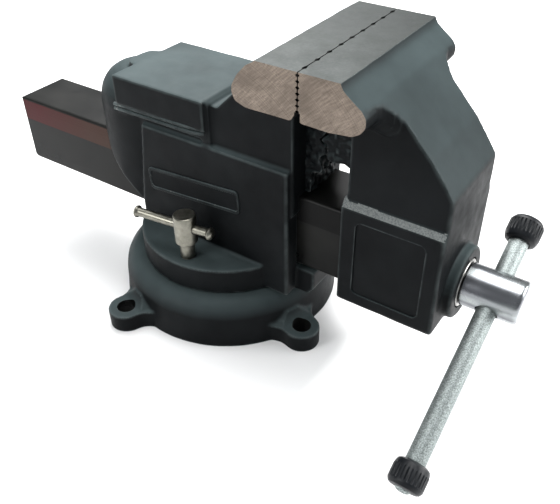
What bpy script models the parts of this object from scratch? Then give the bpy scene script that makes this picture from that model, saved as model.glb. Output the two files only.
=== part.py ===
"""Swivel-base bench vise with an anvil: 100 mm jaws on a round base with four bolt ears.

Metres, +Z up. The origin is the swivel axis at the bench plane. +X points from the fixed jaw to the
screw head, and the closed jaws meet in the plane x = JAW_SEAM.
"""

import math

import bmesh
import bpy
from mathutils import Matrix, Vector

# Overall layout
JAW_WIDTH = 0.100
JAW_TOP = 0.190
JAW_SEAM = 0.085
SCREW_HEIGHT = 0.0685
FIT = 0.0003

# Swivel base
BASE_RADIUS = 0.073
BASE_TOP = 0.031
BASE_LIP_RADIUS = 0.053
BASE_LIP_UNDERSIDE = 0.0195
BASE_CAVITY_RADIUS = 0.062
BASE_YAW = math.radians(-20.5)
EAR_COUNT = 4
EAR_CIRCLE = 0.0815
EAR_RADIUS = 0.0115
EAR_ROOT_HALF = 0.023
EAR_THICKNESS = 0.012
EAR_HOLE = 0.006

# Fixed body
FLANGE_RADIUS = 0.058
FLANGE_BOTTOM = 0.0315
FLANGE_TOP = 0.0492
SPIGOT_BOTTOM = 0.0235
BODY_REAR = -0.047
BODY_FRONT = 0.0665
BODY_HALF = 0.0305
BODY_SHOULDER = 0.120
NECK_FRONT = 0.0680
NECK_HALF = 0.0270
ANVIL_REAR = -0.0575
ANVIL_FRONT = 0.0112
ANVIL_HALF = 0.0320
ANVIL_TOP = 0.1484
ANVIL_BOTTOM = 0.1275
TAIL_LENGTH = 0.0345
TAIL_HALF = 0.0295
TONGUE_REAR = -0.0658
TONGUE_HALF = 0.0125
FOOT_FRONT = 0.0790
FOOT_HALF = 0.0200

# Moving jaw and its slide
UPPER_REAR = 0.1024
UPPER_HALF = 0.0285
SLEEVE_REAR = 0.1005
SLEEVE_HALF = 0.0310
SLEEVE_TOP = 0.1135
SLEEVE_BOTTOM = 0.0480
FRONT_FACE = 0.1592
KNEE_HEIGHT = 0.1344
BOSS_RADIUS = 0.0214
BOSS_FRONT = 0.1645
BOSS_RECESS = 0.0150
SLIDE_REAR = -0.1706
SLIDE_HALF = 0.0195
SLIDE_TOP = 0.1007
SLIDE_BOTTOM = 0.0512
SLIDE_RAIL_BOTTOM = 0.0842
SLIDE_RELIEF = 0.0010
SLIDE_SLOT_HALF = 0.0125
SLIDE_SLOT_TOP = 0.0880
FRONT_WALL = 0.1470
PIPE_JAW_HALF = 0.0140
PIPE_TOOTH_PITCH = 0.0120

# Main screw, nut and handle
SCREW_RADIUS = 0.009
SCREW_TAIL = -0.080
HEAD_RADIUS = 0.0125
HEAD_REAR = 0.1652
HEAD_FRONT = 0.1972
HANDLE_X = 0.181
HANDLE_TILT = math.radians(29)
BAR_RADIUS = 0.0055
BAR_LOW_END = -0.113
BAR_HIGH_END = 0.046
CAP_LENGTH = 0.015
CAP_RADIUS = 0.010
CAP_OPENING = 0.0045
NUT_REAR = 0.0200
NUT_FRONT = 0.0540
NUT_HALF = 0.0105
NUT_TOP = 0.0830
SPRING_RADIUS = 0.0118
SPRING_WIRE = 0.0010
SPRING_TURNS = 5

# Swivel lock screws
LOCK_X = 0.004
LOCK_Y = 0.0474
LOCK_SHANK = 0.00425
LOCK_HEAD_RADIUS = 0.0070
LOCK_HEAD_BOTTOM = 0.0600
LOCK_HEAD_TOP = 0.0804
LOCK_BAR_HEIGHT = 0.0715
LOCK_BAR_RADIUS = 0.0029
LOCK_BAR_HALF = 0.0285
LOCK_BAR_OFFSET = 0.0088
LOCK_BAR_ANGLE = math.radians(6.5)
CLAMP_RADIUS = 0.0585
CLAMP_BOTTOM = 0.0120
CLAMP_TOP = 0.0190

ROUND_STEPS = 40
SMALL_STEPS = 20

CAST_PAINT = ("cast_paint", (0.030, 0.031, 0.033, 1), 0.45, 0.0)
BRIGHT_CHROME = ("bright_chrome", (0.78, 0.79, 0.80, 1), 0.12, 1.0)
SATIN_ZINC = ("satin_zinc", (0.58, 0.60, 0.60, 1), 0.38, 1.0)
NICKEL = ("nickel", (0.66, 0.62, 0.54, 1), 0.25, 1.0)
PLAIN_STEEL = ("plain_steel", (0.36, 0.36, 0.37, 1), 0.40, 1.0)
BLACK_PLASTIC = ("black_plastic", (0.015, 0.015, 0.016, 1), 0.55, 0.0)


def clear_scene():
    for obj in list(bpy.data.objects):
        bpy.data.objects.remove(obj, do_unlink=True)


def new_collection(name):
    collection = bpy.data.collections.new(name)
    bpy.context.scene.collection.children.link(collection)
    return collection


def finish_material(finish):
    name, colour, roughness, metallic = finish
    material = bpy.data.materials.get(name) or bpy.data.materials.new(name)
    material.use_nodes = True
    shader = material.node_tree.nodes["Principled BSDF"]
    shader.inputs["Base Color"].default_value = colour
    shader.inputs["Roughness"].default_value = roughness
    shader.inputs["Metallic"].default_value = metallic
    return material


clear_scene()
PARTS = new_collection("bench_vise")
CUTTERS = new_collection("cutters")


def as_part(obj, name, finish, smooth_angle=35):
    """Names a piece, gives it its own material and puts it among the parts."""
    obj.name = name
    obj.data.name = name
    obj.data.materials.clear()
    obj.data.materials.append(finish_material(finish))
    obj.data.shade_smooth()
    obj.data.set_sharp_from_angle(angle=math.radians(smooth_angle))
    PARTS.objects.link(obj)
    return obj


def as_cutter(obj):
    CUTTERS.objects.link(obj)
    obj.hide_render = True
    obj.display_type = "WIRE"
    return obj


def object_from(bm, name):
    mesh = bpy.data.meshes.new(name)
    bm.to_mesh(mesh)
    bm.free()
    return bpy.data.objects.new(name, mesh)


def box(name, low, high):
    low, high = Vector(low), Vector(high)
    bm = bmesh.new()
    bmesh.ops.create_cube(bm, size=1)
    bmesh.ops.scale(bm, vec=high - low, verts=bm.verts)
    bmesh.ops.translate(bm, vec=(low + high) / 2, verts=bm.verts)
    return object_from(bm, name)


def cylinder(name, radius, start, end, segments=SMALL_STEPS):
    """A closed cylinder, or a hexagon with six segments, from one point to another."""
    start, end = Vector(start), Vector(end)
    run = end - start
    bm = bmesh.new()
    bmesh.ops.create_cone(
        bm, cap_ends=True, segments=segments, radius1=radius, radius2=radius, depth=run.length
    )
    turn = run.to_track_quat("Z", "Y").to_matrix().to_4x4()
    bmesh.ops.transform(bm, matrix=Matrix.Translation((start + end) / 2) @ turn, verts=bm.verts)
    return object_from(bm, name)


def rounded_outline(corners, steps=3):
    """Points round a closed outline. A corner is (u, v) or (u, v, radius), and a radius makes an arc."""
    points = []
    for index, corner in enumerate(corners):
        here = Vector(corner[:2])
        radius = corner[2] if len(corner) > 2 else 0
        if not radius:
            points.append(here)
            continue
        back = (Vector(corners[index - 1][:2]) - here).normalized()
        ahead = (Vector(corners[(index + 1) % len(corners)][:2]) - here).normalized()
        half = math.acos(max(-1, min(1, back.dot(ahead)))) / 2
        centre = here + (back + ahead).normalized() * (radius / math.sin(half))
        first = here + back * (radius / math.tan(half)) - centre
        last = here + ahead * (radius / math.tan(half)) - centre
        swing = first.angle_signed(last)
        for step in range(steps + 1):
            turned = first.copy()
            turned.rotate(Matrix.Rotation(-swing * step / steps, 2))
            points.append(centre + turned)
    return points


def plate(name, points, thickness, matrix):
    """A flat outline given thickness, as a closed mesh. The outline is in the matrix's XY plane."""
    curve = bpy.data.curves.new(name, "CURVE")
    curve.dimensions = "2D"
    curve.fill_mode = "BOTH"
    curve.extrude = thickness / 2
    spline = curve.splines.new("POLY")
    spline.points.add(len(points) - 1)
    for point, (u, v) in zip(spline.points, points):
        point.co = (u, v, 0, 1)
    spline.use_cyclic_u = True
    flat = bpy.data.objects.new(name, curve)
    PARTS.objects.link(flat)
    bpy.context.view_layer.update()
    graph = bpy.context.evaluated_depsgraph_get()
    mesh = bpy.data.meshes.new_from_object(flat.evaluated_get(graph))
    bpy.data.objects.remove(flat)
    bm = bmesh.new()
    bm.from_mesh(mesh)
    bmesh.ops.remove_doubles(bm, verts=bm.verts, dist=0.00001)
    bmesh.ops.dissolve_limit(bm, angle_limit=0.01, verts=bm.verts, edges=bm.edges)
    bmesh.ops.transform(bm, matrix=matrix, verts=bm.verts)
    bmesh.ops.recalc_face_normals(bm, faces=bm.faces)
    return object_from(bm, name)


def side_plate(name, corners, half_width, steps=3):
    """An outline in the XZ plane, extruded to both sides of it along Y."""
    stand_up = Matrix.Rotation(math.radians(90), 4, "X")
    return plate(name, rounded_outline(corners, steps), 2 * half_width, stand_up)


def turned(name, profile, place=Matrix(), steps=ROUND_STEPS, closed=True):
    """A profile of (radius, height) turned round Z, top to bottom on its outer side, then placed."""
    mesh = bpy.data.meshes.new(name)
    edges = [(index, index + 1) for index in range(len(profile) - 1)]
    if closed:
        edges.append((len(profile) - 1, 0))
    mesh.from_pydata([(radius, 0, height) for radius, height in profile], edges, [])
    obj = bpy.data.objects.new(name, mesh)
    screw = obj.modifiers.new("turn", "SCREW")
    screw.steps = steps
    screw.render_steps = steps
    screw.use_merge_vertices = True
    screw.merge_threshold = 0.00001
    obj.matrix_world = place
    return obj


def along_x(x, z=SCREW_HEIGHT, y=0.0):
    """A placement that lays a turned piece's axis along +X."""
    return Matrix.Translation((x, y, z)) @ Matrix.Rotation(math.radians(90), 4, "Y")


def bevel(obj, width, segments=2, angle=35):
    modifier = obj.modifiers.new("bevel", "BEVEL")
    modifier.width = width
    modifier.segments = segments
    modifier.limit_method = "ANGLE"
    modifier.angle_limit = math.radians(angle)
    return obj


def combine(obj, other, operation):
    modifier = obj.modifiers.new(operation.lower(), "BOOLEAN")
    modifier.operation = operation
    modifier.solver = "EXACT"
    modifier.object = as_cutter(other)


def add(obj, *others):
    for other in others:
        combine(obj, other, "UNION")


def cut(obj, *others):
    for other in others:
        combine(obj, other, "DIFFERENCE")


def ear_outline():
    """A bolt ear seen from above, pointing along +X: a round end that flares into the ring."""
    root = BASE_CAVITY_RADIUS + 0.003
    side = []
    for step in range(6):
        share = step / 5
        reach = root + (EAR_CIRCLE - root) * share
        side.append((reach, EAR_RADIUS + (EAR_ROOT_HALF - EAR_RADIUS) * (1 - share) ** 2))
    end = []
    for step in range(1, 9):
        angle = math.radians(90 - step * 20)
        end.append((EAR_CIRCLE + EAR_RADIUS * math.cos(angle), EAR_RADIUS * math.sin(angle)))
    return side + end + [(reach, -half) for reach, half in reversed(side)]


def swivel_base():
    """The round cast base: a ring with a lip that the fixed body turns on, and four bolt ears."""
    crown = []
    for step in range(5):
        angle = math.radians(step * 20)
        crown.append((0.0605 + 0.0108 * math.sin(angle), 0.0190 + 0.0120 * math.cos(angle)))
    ring = [(BASE_LIP_RADIUS, BASE_TOP)] + crown
    ring += [(BASE_RADIUS, 0.002), (BASE_RADIUS - 0.001, 0), (BASE_CAVITY_RADIUS, 0)]
    ring += [(BASE_CAVITY_RADIUS, BASE_LIP_UNDERSIDE), (BASE_LIP_RADIUS, BASE_LIP_UNDERSIDE)]
    base = turned("swivel_base", ring)
    for index in range(EAR_COUNT):
        turn = Matrix.Rotation(BASE_YAW + index * math.tau / EAR_COUNT, 4, "Z")
        place = turn @ Matrix.Translation((0, 0, EAR_THICKNESS / 2))
        add(base, bevel(plate("ear", ear_outline(), EAR_THICKNESS, place), 0.0012, 1))
        centre = turn @ Vector((EAR_CIRCLE, 0, 0))
        hole = cylinder("ear_hole", EAR_HOLE, centre - Vector((0, 0, 0.01)), centre + Vector((0, 0, 0.03)))
        cut(base, hole)
    return as_part(base, "swivel_base", CAST_PAINT)


def jaw_lug(name, direction, notch):
    """The leaf-shaped head of a jaw, as wide as the jaws: direction is -1 for the fixed jaw, 1 for the moving."""
    face = JAW_SEAM + direction * FIT / 2
    reach = (0.0230, 0.0400, 0.0355) if direction < 0 else (0.0223, 0.0367, 0.0345)
    drop = 0 if direction < 0 else 0.0020
    shelf = 0.0157 if direction < 0 else 0.0128
    corners = [
        (face, JAW_TOP),
        (face + direction * reach[0], JAW_TOP),
        (face + direction * (reach[0] + 0.0003), JAW_TOP - drop - 0.0003),
        (face + direction * reach[1], JAW_TOP - shelf, 0.0055),
        (face + direction * reach[2], JAW_TOP - 0.0248, 0.0055),
        (face + direction * notch, JAW_TOP - 0.0248),
        (face + direction * notch, JAW_TOP - 0.0208),
        (face, JAW_TOP - 0.0200),
    ]
    if direction > 0:
        corners.reverse()
    return side_plate(name, corners, JAW_WIDTH / 2, steps=4)


def tail():
    """The rounded rear end under the anvil: an oval post with a low domed top, cut off on a slant below."""
    dome = [(0, 0.1447), (0.0175, 0.1435), (0.0270, 0.1385), (0.0325, 0.1315), (TAIL_LENGTH, 0.1240)]
    profile = dome + [(TAIL_LENGTH, 0.052), (0, 0.052)]
    squeeze = Matrix.Diagonal((1, TAIL_HALF / TAIL_LENGTH, 1, 1))
    post = turned("tail", profile, Matrix.Translation((ANVIL_REAR, 0, 0)) @ squeeze, closed=False)
    slant = [(-0.110, 0.1010), (-0.092, 0.1010), (-0.0478, 0.0600), (-0.0478, 0.040), (-0.110, 0.040)]
    cut(post, side_plate("tail_slant", slant, 0.060))
    corners = [
        (-0.0500, -TONGUE_HALF),
        (-0.0500, TONGUE_HALF),
        (TONGUE_REAR, TONGUE_HALF, 0.0060),
        (TONGUE_REAR, -TONGUE_HALF, 0.0060),
    ]
    height = 0.0200
    place = Matrix.Translation((0, 0, ANVIL_TOP - 0.0004 - height / 2))
    add(post, plate("tongue", rounded_outline(corners, 3), height, place))
    return post


def rear_jaw_body():
    """The fixed casting: jaw, neck, anvil and box on a round flange, with the slide's channel through it."""
    lower = [
        (BODY_REAR, FLANGE_BOTTOM + 0.002),
        (BODY_FRONT, FLANGE_BOTTOM + 0.002),
        (BODY_FRONT, BODY_SHOULDER),
        (-0.0400, BODY_SHOULDER),
        (BODY_REAR, 0.0640),
    ]
    body = bevel(side_plate("rear_jaw_body", lower, BODY_HALF), 0.0030)
    neck = [
        (-0.0560, 0.0900),
        (NECK_FRONT, 0.0900),
        (NECK_FRONT, 0.1700),
        (0.0660, 0.1840),
        (0.0560, 0.1835),
        (0.0180, ANVIL_TOP - 0.0030),
        (-0.0560, ANVIL_TOP - 0.0030),
    ]
    add(body, side_plate("neck", neck, NECK_HALF))
    anvil_low = (ANVIL_REAR, -ANVIL_HALF, ANVIL_BOTTOM)
    anvil_high = (ANVIL_FRONT, ANVIL_HALF, ANVIL_TOP)
    add(body, bevel(box("anvil", anvil_low, anvil_high), 0.0016))
    bead_low = (ANVIL_REAR + 0.001, -ANVIL_HALF + 0.0006, ANVIL_BOTTOM - 0.0045)
    bead_high = (ANVIL_FRONT - 0.001, ANVIL_HALF - 0.0006, ANVIL_BOTTOM - 0.0012)
    add(body, box("bead", bead_low, bead_high))
    add(body, tail())
    add(body, jaw_lug("rear_lug", -1, 0.0048))
    flange = cylinder("flange", FLANGE_RADIUS, (0, 0, FLANGE_BOTTOM), (0, 0, FLANGE_TOP), ROUND_STEPS)
    add(body, bevel(flange, 0.0012, 1))
    foot_corners = [
        (0.0550, FLANGE_BOTTOM),
        (FOOT_FRONT - 0.004, FLANGE_BOTTOM),
        (FOOT_FRONT, FLANGE_BOTTOM + 0.005),
        (FOOT_FRONT, FLANGE_TOP - 0.0002),
        (0.0550, FLANGE_TOP - 0.0002),
    ]
    add(body, side_plate("foot", foot_corners, FOOT_HALF))
    spigot = cylinder(
        "spigot", BASE_LIP_RADIUS - FIT, (0, 0, SPIGOT_BOTTOM), (0, 0, FLANGE_BOTTOM + 0.001), ROUND_STEPS
    )
    add(body, spigot)
    channel_low = (-0.120, -SLIDE_HALF - FIT, SLIDE_BOTTOM - FIT)
    channel_high = (0.120, SLIDE_HALF + FIT, SLIDE_TOP + FIT)
    cut(body, box("channel", channel_low, channel_high))
    for side in (-1, 1):
        hole = (LOCK_X, side * LOCK_Y, 0.010), (LOCK_X, side * LOCK_Y, 0.060)
        cut(body, cylinder("lock_hole", LOCK_SHANK + FIT, *hole))
    cut(body, cylinder("pivot_hole", 0.005 + FIT, (0, 0, 0.010), (0, 0, 0.0440)))
    nut_bolt_x = (NUT_REAR + NUT_FRONT) / 2
    cut(body, cylinder("nut_bolt_hole", 0.004 + FIT, (nut_bolt_x, 0, 0.010), (nut_bolt_x, 0, 0.060)))
    cut(body, cylinder("nut_bolt_recess", 0.0080, (nut_bolt_x, 0, 0.010), (nut_bolt_x, 0, 0.0325)))
    return as_part(body, "rear_jaw_body", CAST_PAINT)


def front_jaw_body():
    """The moving casting: jaw, sloping body and sleeve in one piece with the hollow slide."""
    sleeve_low = (SLEEVE_REAR, -SLEEVE_HALF, SLEEVE_BOTTOM)
    sleeve_high = (FRONT_FACE, SLEEVE_HALF, SLEEVE_TOP)
    body = bevel(box("front_jaw_body", sleeve_low, sleeve_high), 0.0035)
    upper = [
        (UPPER_REAR, 0.1000),
        (FRONT_FACE, 0.1000),
        (FRONT_FACE, KNEE_HEIGHT, 0.0030),
        (JAW_SEAM + 0.0268, JAW_TOP - 0.0026),
        (JAW_SEAM + 0.0222, JAW_TOP - 0.0024),
        (UPPER_REAR, 0.1740),
    ]
    add(body, bevel(side_plate("upper", upper, UPPER_HALF), 0.0020))
    add(body, jaw_lug("front_lug", 1, 0.0020))
    slide_low = (SLIDE_REAR, -SLIDE_HALF, SLIDE_BOTTOM)
    slide_high = (FRONT_FACE - 0.010, SLIDE_HALF, SLIDE_TOP)
    add(body, bevel(box("slide", slide_low, slide_high), 0.0025))
    add(body, turned("boss", [(0, 0.007), (0.0200, 0.007), (BOSS_RADIUS, 0.0055), (BOSS_RADIUS, 0), (0, 0)],
                     along_x(BOSS_FRONT - 0.007), closed=False))
    for side in (-1, 1):
        inner, outer = sorted((side * (SLIDE_HALF - SLIDE_RELIEF), side * (SLIDE_HALF + 0.005)))
        relief_low = (SLIDE_REAR - 0.005, inner, SLIDE_BOTTOM - 0.005)
        relief_high = (SLEEVE_REAR - 0.0005, outer, SLIDE_RAIL_BOTTOM)
        cut(body, box("relief", relief_low, relief_high))
    slot_low = (SLIDE_REAR - 0.005, -SLIDE_SLOT_HALF, 0.030)
    slot_high = (FRONT_WALL, SLIDE_SLOT_HALF, SLIDE_SLOT_TOP)
    cut(body, box("slide_slot", slot_low, slot_high))
    cut(body, cylinder("screw_bore", SCREW_RADIUS + 0.0005, (0.140, 0, SCREW_HEIGHT), (0.170, 0, SCREW_HEIGHT)))
    recess = (BOSS_FRONT - 0.0030, 0, SCREW_HEIGHT), (0.170, 0, SCREW_HEIGHT)
    cut(body, cylinder("washer_recess", BOSS_RECESS, *recess))
    return as_part(body, "front_jaw_body", CAST_PAINT)


def rear_pipe_jaw():
    """The fixed toothed lump low in the throat that grips round stock, on a pad reaching down to the slide."""
    back = NECK_FRONT + FIT
    valley = 0.0768
    tip = 0.0800
    corners = [
        (back, SLIDE_TOP + 0.0010),
        (0.0720, SLIDE_TOP + 0.0010),
        (0.0720, 0.1150),
        (0.0775, 0.1165),
        (0.0790, 0.1195),
        (valley, 0.1240),
        (valley, 0.1255),
    ]
    for tooth in range(3):
        foot = 0.1255 + tooth * PIPE_TOOTH_PITCH
        corners += [
            (tip, foot + 0.0035),
            (tip, foot + 0.0080),
            (valley, foot + 0.0112),
        ]
        if tooth < 2:
            corners.append((valley, foot + PIPE_TOOTH_PITCH))
    corners.append((back, 0.1620))
    return as_part(side_plate("rear_pipe_jaw", corners, PIPE_JAW_HALF), "rear_pipe_jaw", CAST_PAINT)


def front_pipe_jaw():
    """The moving toothed lump, whose teeth drop between the rear one's when the jaws are closed."""
    back = UPPER_REAR - FIT
    valley = 0.0812
    tip = 0.0780
    corners = [(back, 0.1620), (valley, 0.1610)]
    for tooth in (1, 0):
        middle = 0.1371 + tooth * PIPE_TOOTH_PITCH
        corners += [
            (valley, middle + 0.0037),
            (tip, middle + 0.0005),
            (tip, middle - 0.0005),
            (valley, middle - 0.0037),
        ]
    corners += [(valley, 0.1262), (back, 0.1250)]
    return as_part(side_plate("front_pipe_jaw", corners, PIPE_JAW_HALF), "front_pipe_jaw", CAST_PAINT)


def ring_piece(name, inner, outer, start, end, finish):
    """A plain washer on the screw's axis, between two places along it."""
    profile = [(inner, end - start), (outer, end - start), (outer, 0), (inner, 0)]
    return as_part(turned(name, profile, along_x(start), SMALL_STEPS), name, finish)


def main_screw():
    """The clamping screw with its cross-drilled head."""
    length = HEAD_FRONT - SCREW_TAIL
    head_start = HEAD_REAR - SCREW_TAIL
    profile = [
        (0, length),
        (HEAD_RADIUS - 0.0025, length),
        (HEAD_RADIUS - 0.0007, length - 0.0008),
        (HEAD_RADIUS, length - 0.0027),
        (HEAD_RADIUS, head_start),
        (SCREW_RADIUS, head_start),
        (SCREW_RADIUS, 0.0015),
        (SCREW_RADIUS - 0.0015, 0),
        (0, 0),
    ]
    screw = turned("main_screw", profile, along_x(SCREW_TAIL), 28, closed=False)
    across = handle_point(1) - handle_point(0)
    middle = handle_point(0)
    cut(screw, cylinder("handle_bore", BAR_RADIUS + FIT, middle - across * 0.03, middle + across * 0.03))
    pin_x = FRONT_WALL - 0.0220
    cut(screw, cylinder("pin_bore", 0.0018, (pin_x, 0, 0.050), (pin_x, 0, 0.090), 12))
    return as_part(screw, "main_screw", BRIGHT_CHROME)


def handle_point(distance):
    """A point on the handle's axis, at a distance from the screw's axis."""
    return Vector(
        (HANDLE_X, distance * math.cos(HANDLE_TILT), SCREW_HEIGHT + distance * math.sin(HANDLE_TILT))
    )


def along_handle(distance, outward):
    """A placement whose +Z runs along the handle, outward being 1 or -1."""
    direction = (handle_point(1) - handle_point(0)) * outward
    return Matrix.Translation(handle_point(distance)) @ direction.to_track_quat("Z", "Y").to_matrix().to_4x4()


def handle_bar():
    bar = cylinder("handle_bar", BAR_RADIUS, handle_point(BAR_LOW_END), handle_point(BAR_HIGH_END), 24)
    return as_part(bevel(bar, 0.0006, 1), "handle_bar", SATIN_ZINC)


def handle_cap(name, start, outward):
    """A ribbed end cap, open in the middle of its outer end so that the bar shows."""
    inner = BAR_RADIUS + FIT
    profile = [
        (CAP_OPENING, CAP_LENGTH),
        (CAP_RADIUS - 0.0035, CAP_LENGTH),
        (CAP_RADIUS - 0.0004, CAP_LENGTH - 0.0035),
        (CAP_RADIUS, CAP_LENGTH - 0.0060),
        (CAP_RADIUS - 0.0010, 0.0030),
        (CAP_RADIUS - 0.0030, 0),
        (inner, 0),
        (inner, CAP_LENGTH - 0.0016),
        (CAP_OPENING, CAP_LENGTH - 0.0016),
    ]
    return as_part(turned(name, profile, along_handle(start, outward), 24), name, BLACK_PLASTIC)


def main_nut():
    """The fixed nut: a block inside the hollow slide, bored for the screw and bolted from below."""
    low = (NUT_REAR, -NUT_HALF, SLIDE_BOTTOM)
    high = (NUT_FRONT, NUT_HALF, NUT_TOP)
    nut = bevel(box("main_nut", low, high), 0.0012, 1)
    cut(nut, cylinder("nut_bore", SCREW_RADIUS + FIT, (0, 0, SCREW_HEIGHT), (0.1, 0, SCREW_HEIGHT), 28))
    bolt_x = (NUT_REAR + NUT_FRONT) / 2
    cut(nut, cylinder("nut_tapping", 0.004 + FIT, (bolt_x, 0, 0.040), (bolt_x, 0, 0.0575)))
    return as_part(nut, "main_nut", PLAIN_STEEL)


def hex_bolt(name, x, head_radius, head_low, head_high, shank_radius, shank_top):
    bolt = cylinder(name, head_radius, (x, 0, head_low), (x, 0, head_high), 6)
    add(bolt, cylinder("shank", shank_radius, (x, 0, head_high - 0.001), (x, 0, shank_top), 16))
    return as_part(bolt, name, PLAIN_STEEL)


def flat_washer(name, x, inner, outer, low, high):
    profile = [(inner, high), (outer, high), (outer, low), (inner, low)]
    return as_part(turned(name, profile, Matrix.Translation((x, 0, 0)), SMALL_STEPS), name, PLAIN_STEEL)


def retaining_spring():
    """The coil that keeps the screw's head drawn up against the moving jaw."""
    start = FRONT_WALL - 0.0013
    length = 0.0155
    curve = bpy.data.curves.new("retaining_spring", "CURVE")
    curve.dimensions = "3D"
    curve.bevel_depth = SPRING_WIRE
    curve.bevel_resolution = 1
    curve.use_fill_caps = True
    spline = curve.splines.new("POLY")
    count = SPRING_TURNS * 14
    spline.points.add(count - 1)
    for index, point in enumerate(spline.points):
        angle = math.tau * SPRING_TURNS * index / (count - 1)
        x = start - length * index / (count - 1)
        radius = SPRING_RADIUS - SPRING_WIRE
        point.co = (x, radius * math.cos(angle), SCREW_HEIGHT + radius * math.sin(angle), 1)
    coil = bpy.data.objects.new("retaining_spring", curve)
    PARTS.objects.link(coil)
    bpy.context.view_layer.update()
    mesh = bpy.data.meshes.new_from_object(coil.evaluated_get(bpy.context.evaluated_depsgraph_get()))
    bpy.data.objects.remove(coil)
    bm = bmesh.new()
    bm.from_mesh(mesh)
    bmesh.ops.remove_doubles(bm, verts=bm.verts, dist=0.00001)
    return as_part(object_from(bm, "retaining_spring"), "retaining_spring", PLAIN_STEEL)


def lock_screw(name, side):
    """A clamp screw standing on the flange, with a drilled head for its sliding bar."""
    y = side * LOCK_Y
    place = Matrix.Translation((LOCK_X, y, 0))
    profile = [
        (0, LOCK_HEAD_TOP),
        (LOCK_HEAD_RADIUS - 0.0006, LOCK_HEAD_TOP),
        (LOCK_HEAD_RADIUS, LOCK_HEAD_TOP - 0.0006),
        (LOCK_HEAD_RADIUS, LOCK_HEAD_BOTTOM + 0.0010),
        (LOCK_HEAD_RADIUS - 0.0010, LOCK_HEAD_BOTTOM),
        (LOCK_SHANK, LOCK_HEAD_BOTTOM),
        (LOCK_SHANK, CLAMP_BOTTOM + 0.0010),
        (0, CLAMP_BOTTOM + 0.0010),
    ]
    screw = turned(name, profile, place, SMALL_STEPS, closed=False)
    low, high = lock_bar_ends(side, 0.012, 0.012)
    cut(screw, cylinder("bar_bore", LOCK_BAR_RADIUS + FIT, low, high, 16))
    return as_part(screw, name, NICKEL)


def lock_bar_ends(side, back, front):
    """Two points on a lock bar's axis, so far behind and in front of its screw."""
    middle = Vector((LOCK_X, side * LOCK_Y, LOCK_BAR_HEIGHT))
    along = Vector((math.cos(LOCK_BAR_ANGLE), -side * math.sin(LOCK_BAR_ANGLE), 0))
    return middle - along * back, middle + along * front


def lock_bar(name, side):
    """The sliding bar, with a slightly larger round end each side."""
    low, high = lock_bar_ends(side, LOCK_BAR_HALF + LOCK_BAR_OFFSET, LOCK_BAR_HALF - LOCK_BAR_OFFSET)
    length = 2 * LOCK_BAR_HALF
    knob = [(0, 0), (0.0030, 0.0003), (0.0040, 0.0013), (0.0040, 0.0025), (LOCK_BAR_RADIUS, 0.0036)]
    profile = [(radius, length - depth) for radius, depth in knob] + list(reversed(knob))
    turn = (high - low).to_track_quat("Z", "Y").to_matrix().to_4x4()
    place = Matrix.Translation(low) @ turn
    return as_part(turned(name, profile, place, 16, closed=False), name, NICKEL)


def clamp_plate():
    """The steel disc under the base's lip that the lock screws pull up."""
    disc = cylinder("swivel_clamp_plate", CLAMP_RADIUS, (0, 0, CLAMP_BOTTOM), (0, 0, CLAMP_TOP), ROUND_STEPS)
    for side in (-1, 1):
        hole = (LOCK_X, side * LOCK_Y, 0), (LOCK_X, side * LOCK_Y, 0.030)
        cut(disc, cylinder("tapped_hole", LOCK_SHANK + FIT, *hole))
    cut(disc, cylinder("pivot_hole", 0.005 + FIT, (0, 0, 0), (0, 0, 0.030)))
    bolt_x = (NUT_REAR + NUT_FRONT) / 2
    cut(disc, cylinder("bolt_window", 0.0080, (bolt_x, 0, 0), (bolt_x, 0, 0.030)))
    return as_part(disc, "swivel_clamp_plate", PLAIN_STEEL)


def split_pin():
    """The pin through the screw that holds the spring's washer."""
    x = FRONT_WALL - 0.0220
    pin = cylinder("split_pin", 0.0015, (x, 0, SCREW_HEIGHT - 0.0115), (x, 0, SCREW_HEIGHT + 0.0115), 10)
    return as_part(pin, "split_pin", PLAIN_STEEL)


def build():
    swivel_base()
    rear_jaw_body()
    front_jaw_body()
    rear_pipe_jaw()
    front_pipe_jaw()
    main_screw()
    ring_piece("thrust_washer", SCREW_RADIUS + FIT, BOSS_RECESS - 0.0010, 0.1618, 0.1648, PLAIN_STEEL)
    retaining_spring()
    ring_piece("spring_washer", SCREW_RADIUS + FIT, 0.0118, 0.1270, 0.1285, PLAIN_STEEL)
    split_pin()
    handle_bar()
    handle_cap("handle_cap_low", BAR_LOW_END + CAP_LENGTH - 0.0019, -1)
    handle_cap("handle_cap_high", BAR_HIGH_END - CAP_LENGTH + 0.0019, 1)
    main_nut()
    hex_bolt("nut_bolt", (NUT_REAR + NUT_FRONT) / 2, 0.0070, 0.0270, 0.0322, 0.004, 0.0570)
    clamp_plate()
    hex_bolt("pivot_bolt", 0, 0.0092, 0.0036, 0.0100, 0.005, 0.0435)
    flat_washer("pivot_washer", 0, 0.005 + FIT, 0.0115, 0.0103, 0.0117)
    for place, side in (("near", -1), ("far", 1)):
        lock_screw("lock_screw_" + place, side)
        lock_bar("lock_bar_" + place, side)


build()
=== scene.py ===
from math import acos, atan2, ceil, cos, hypot, radians, sin, sqrt, tan, tau

import bmesh
import bpy
from mathutils import Matrix, Vector, noise


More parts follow.
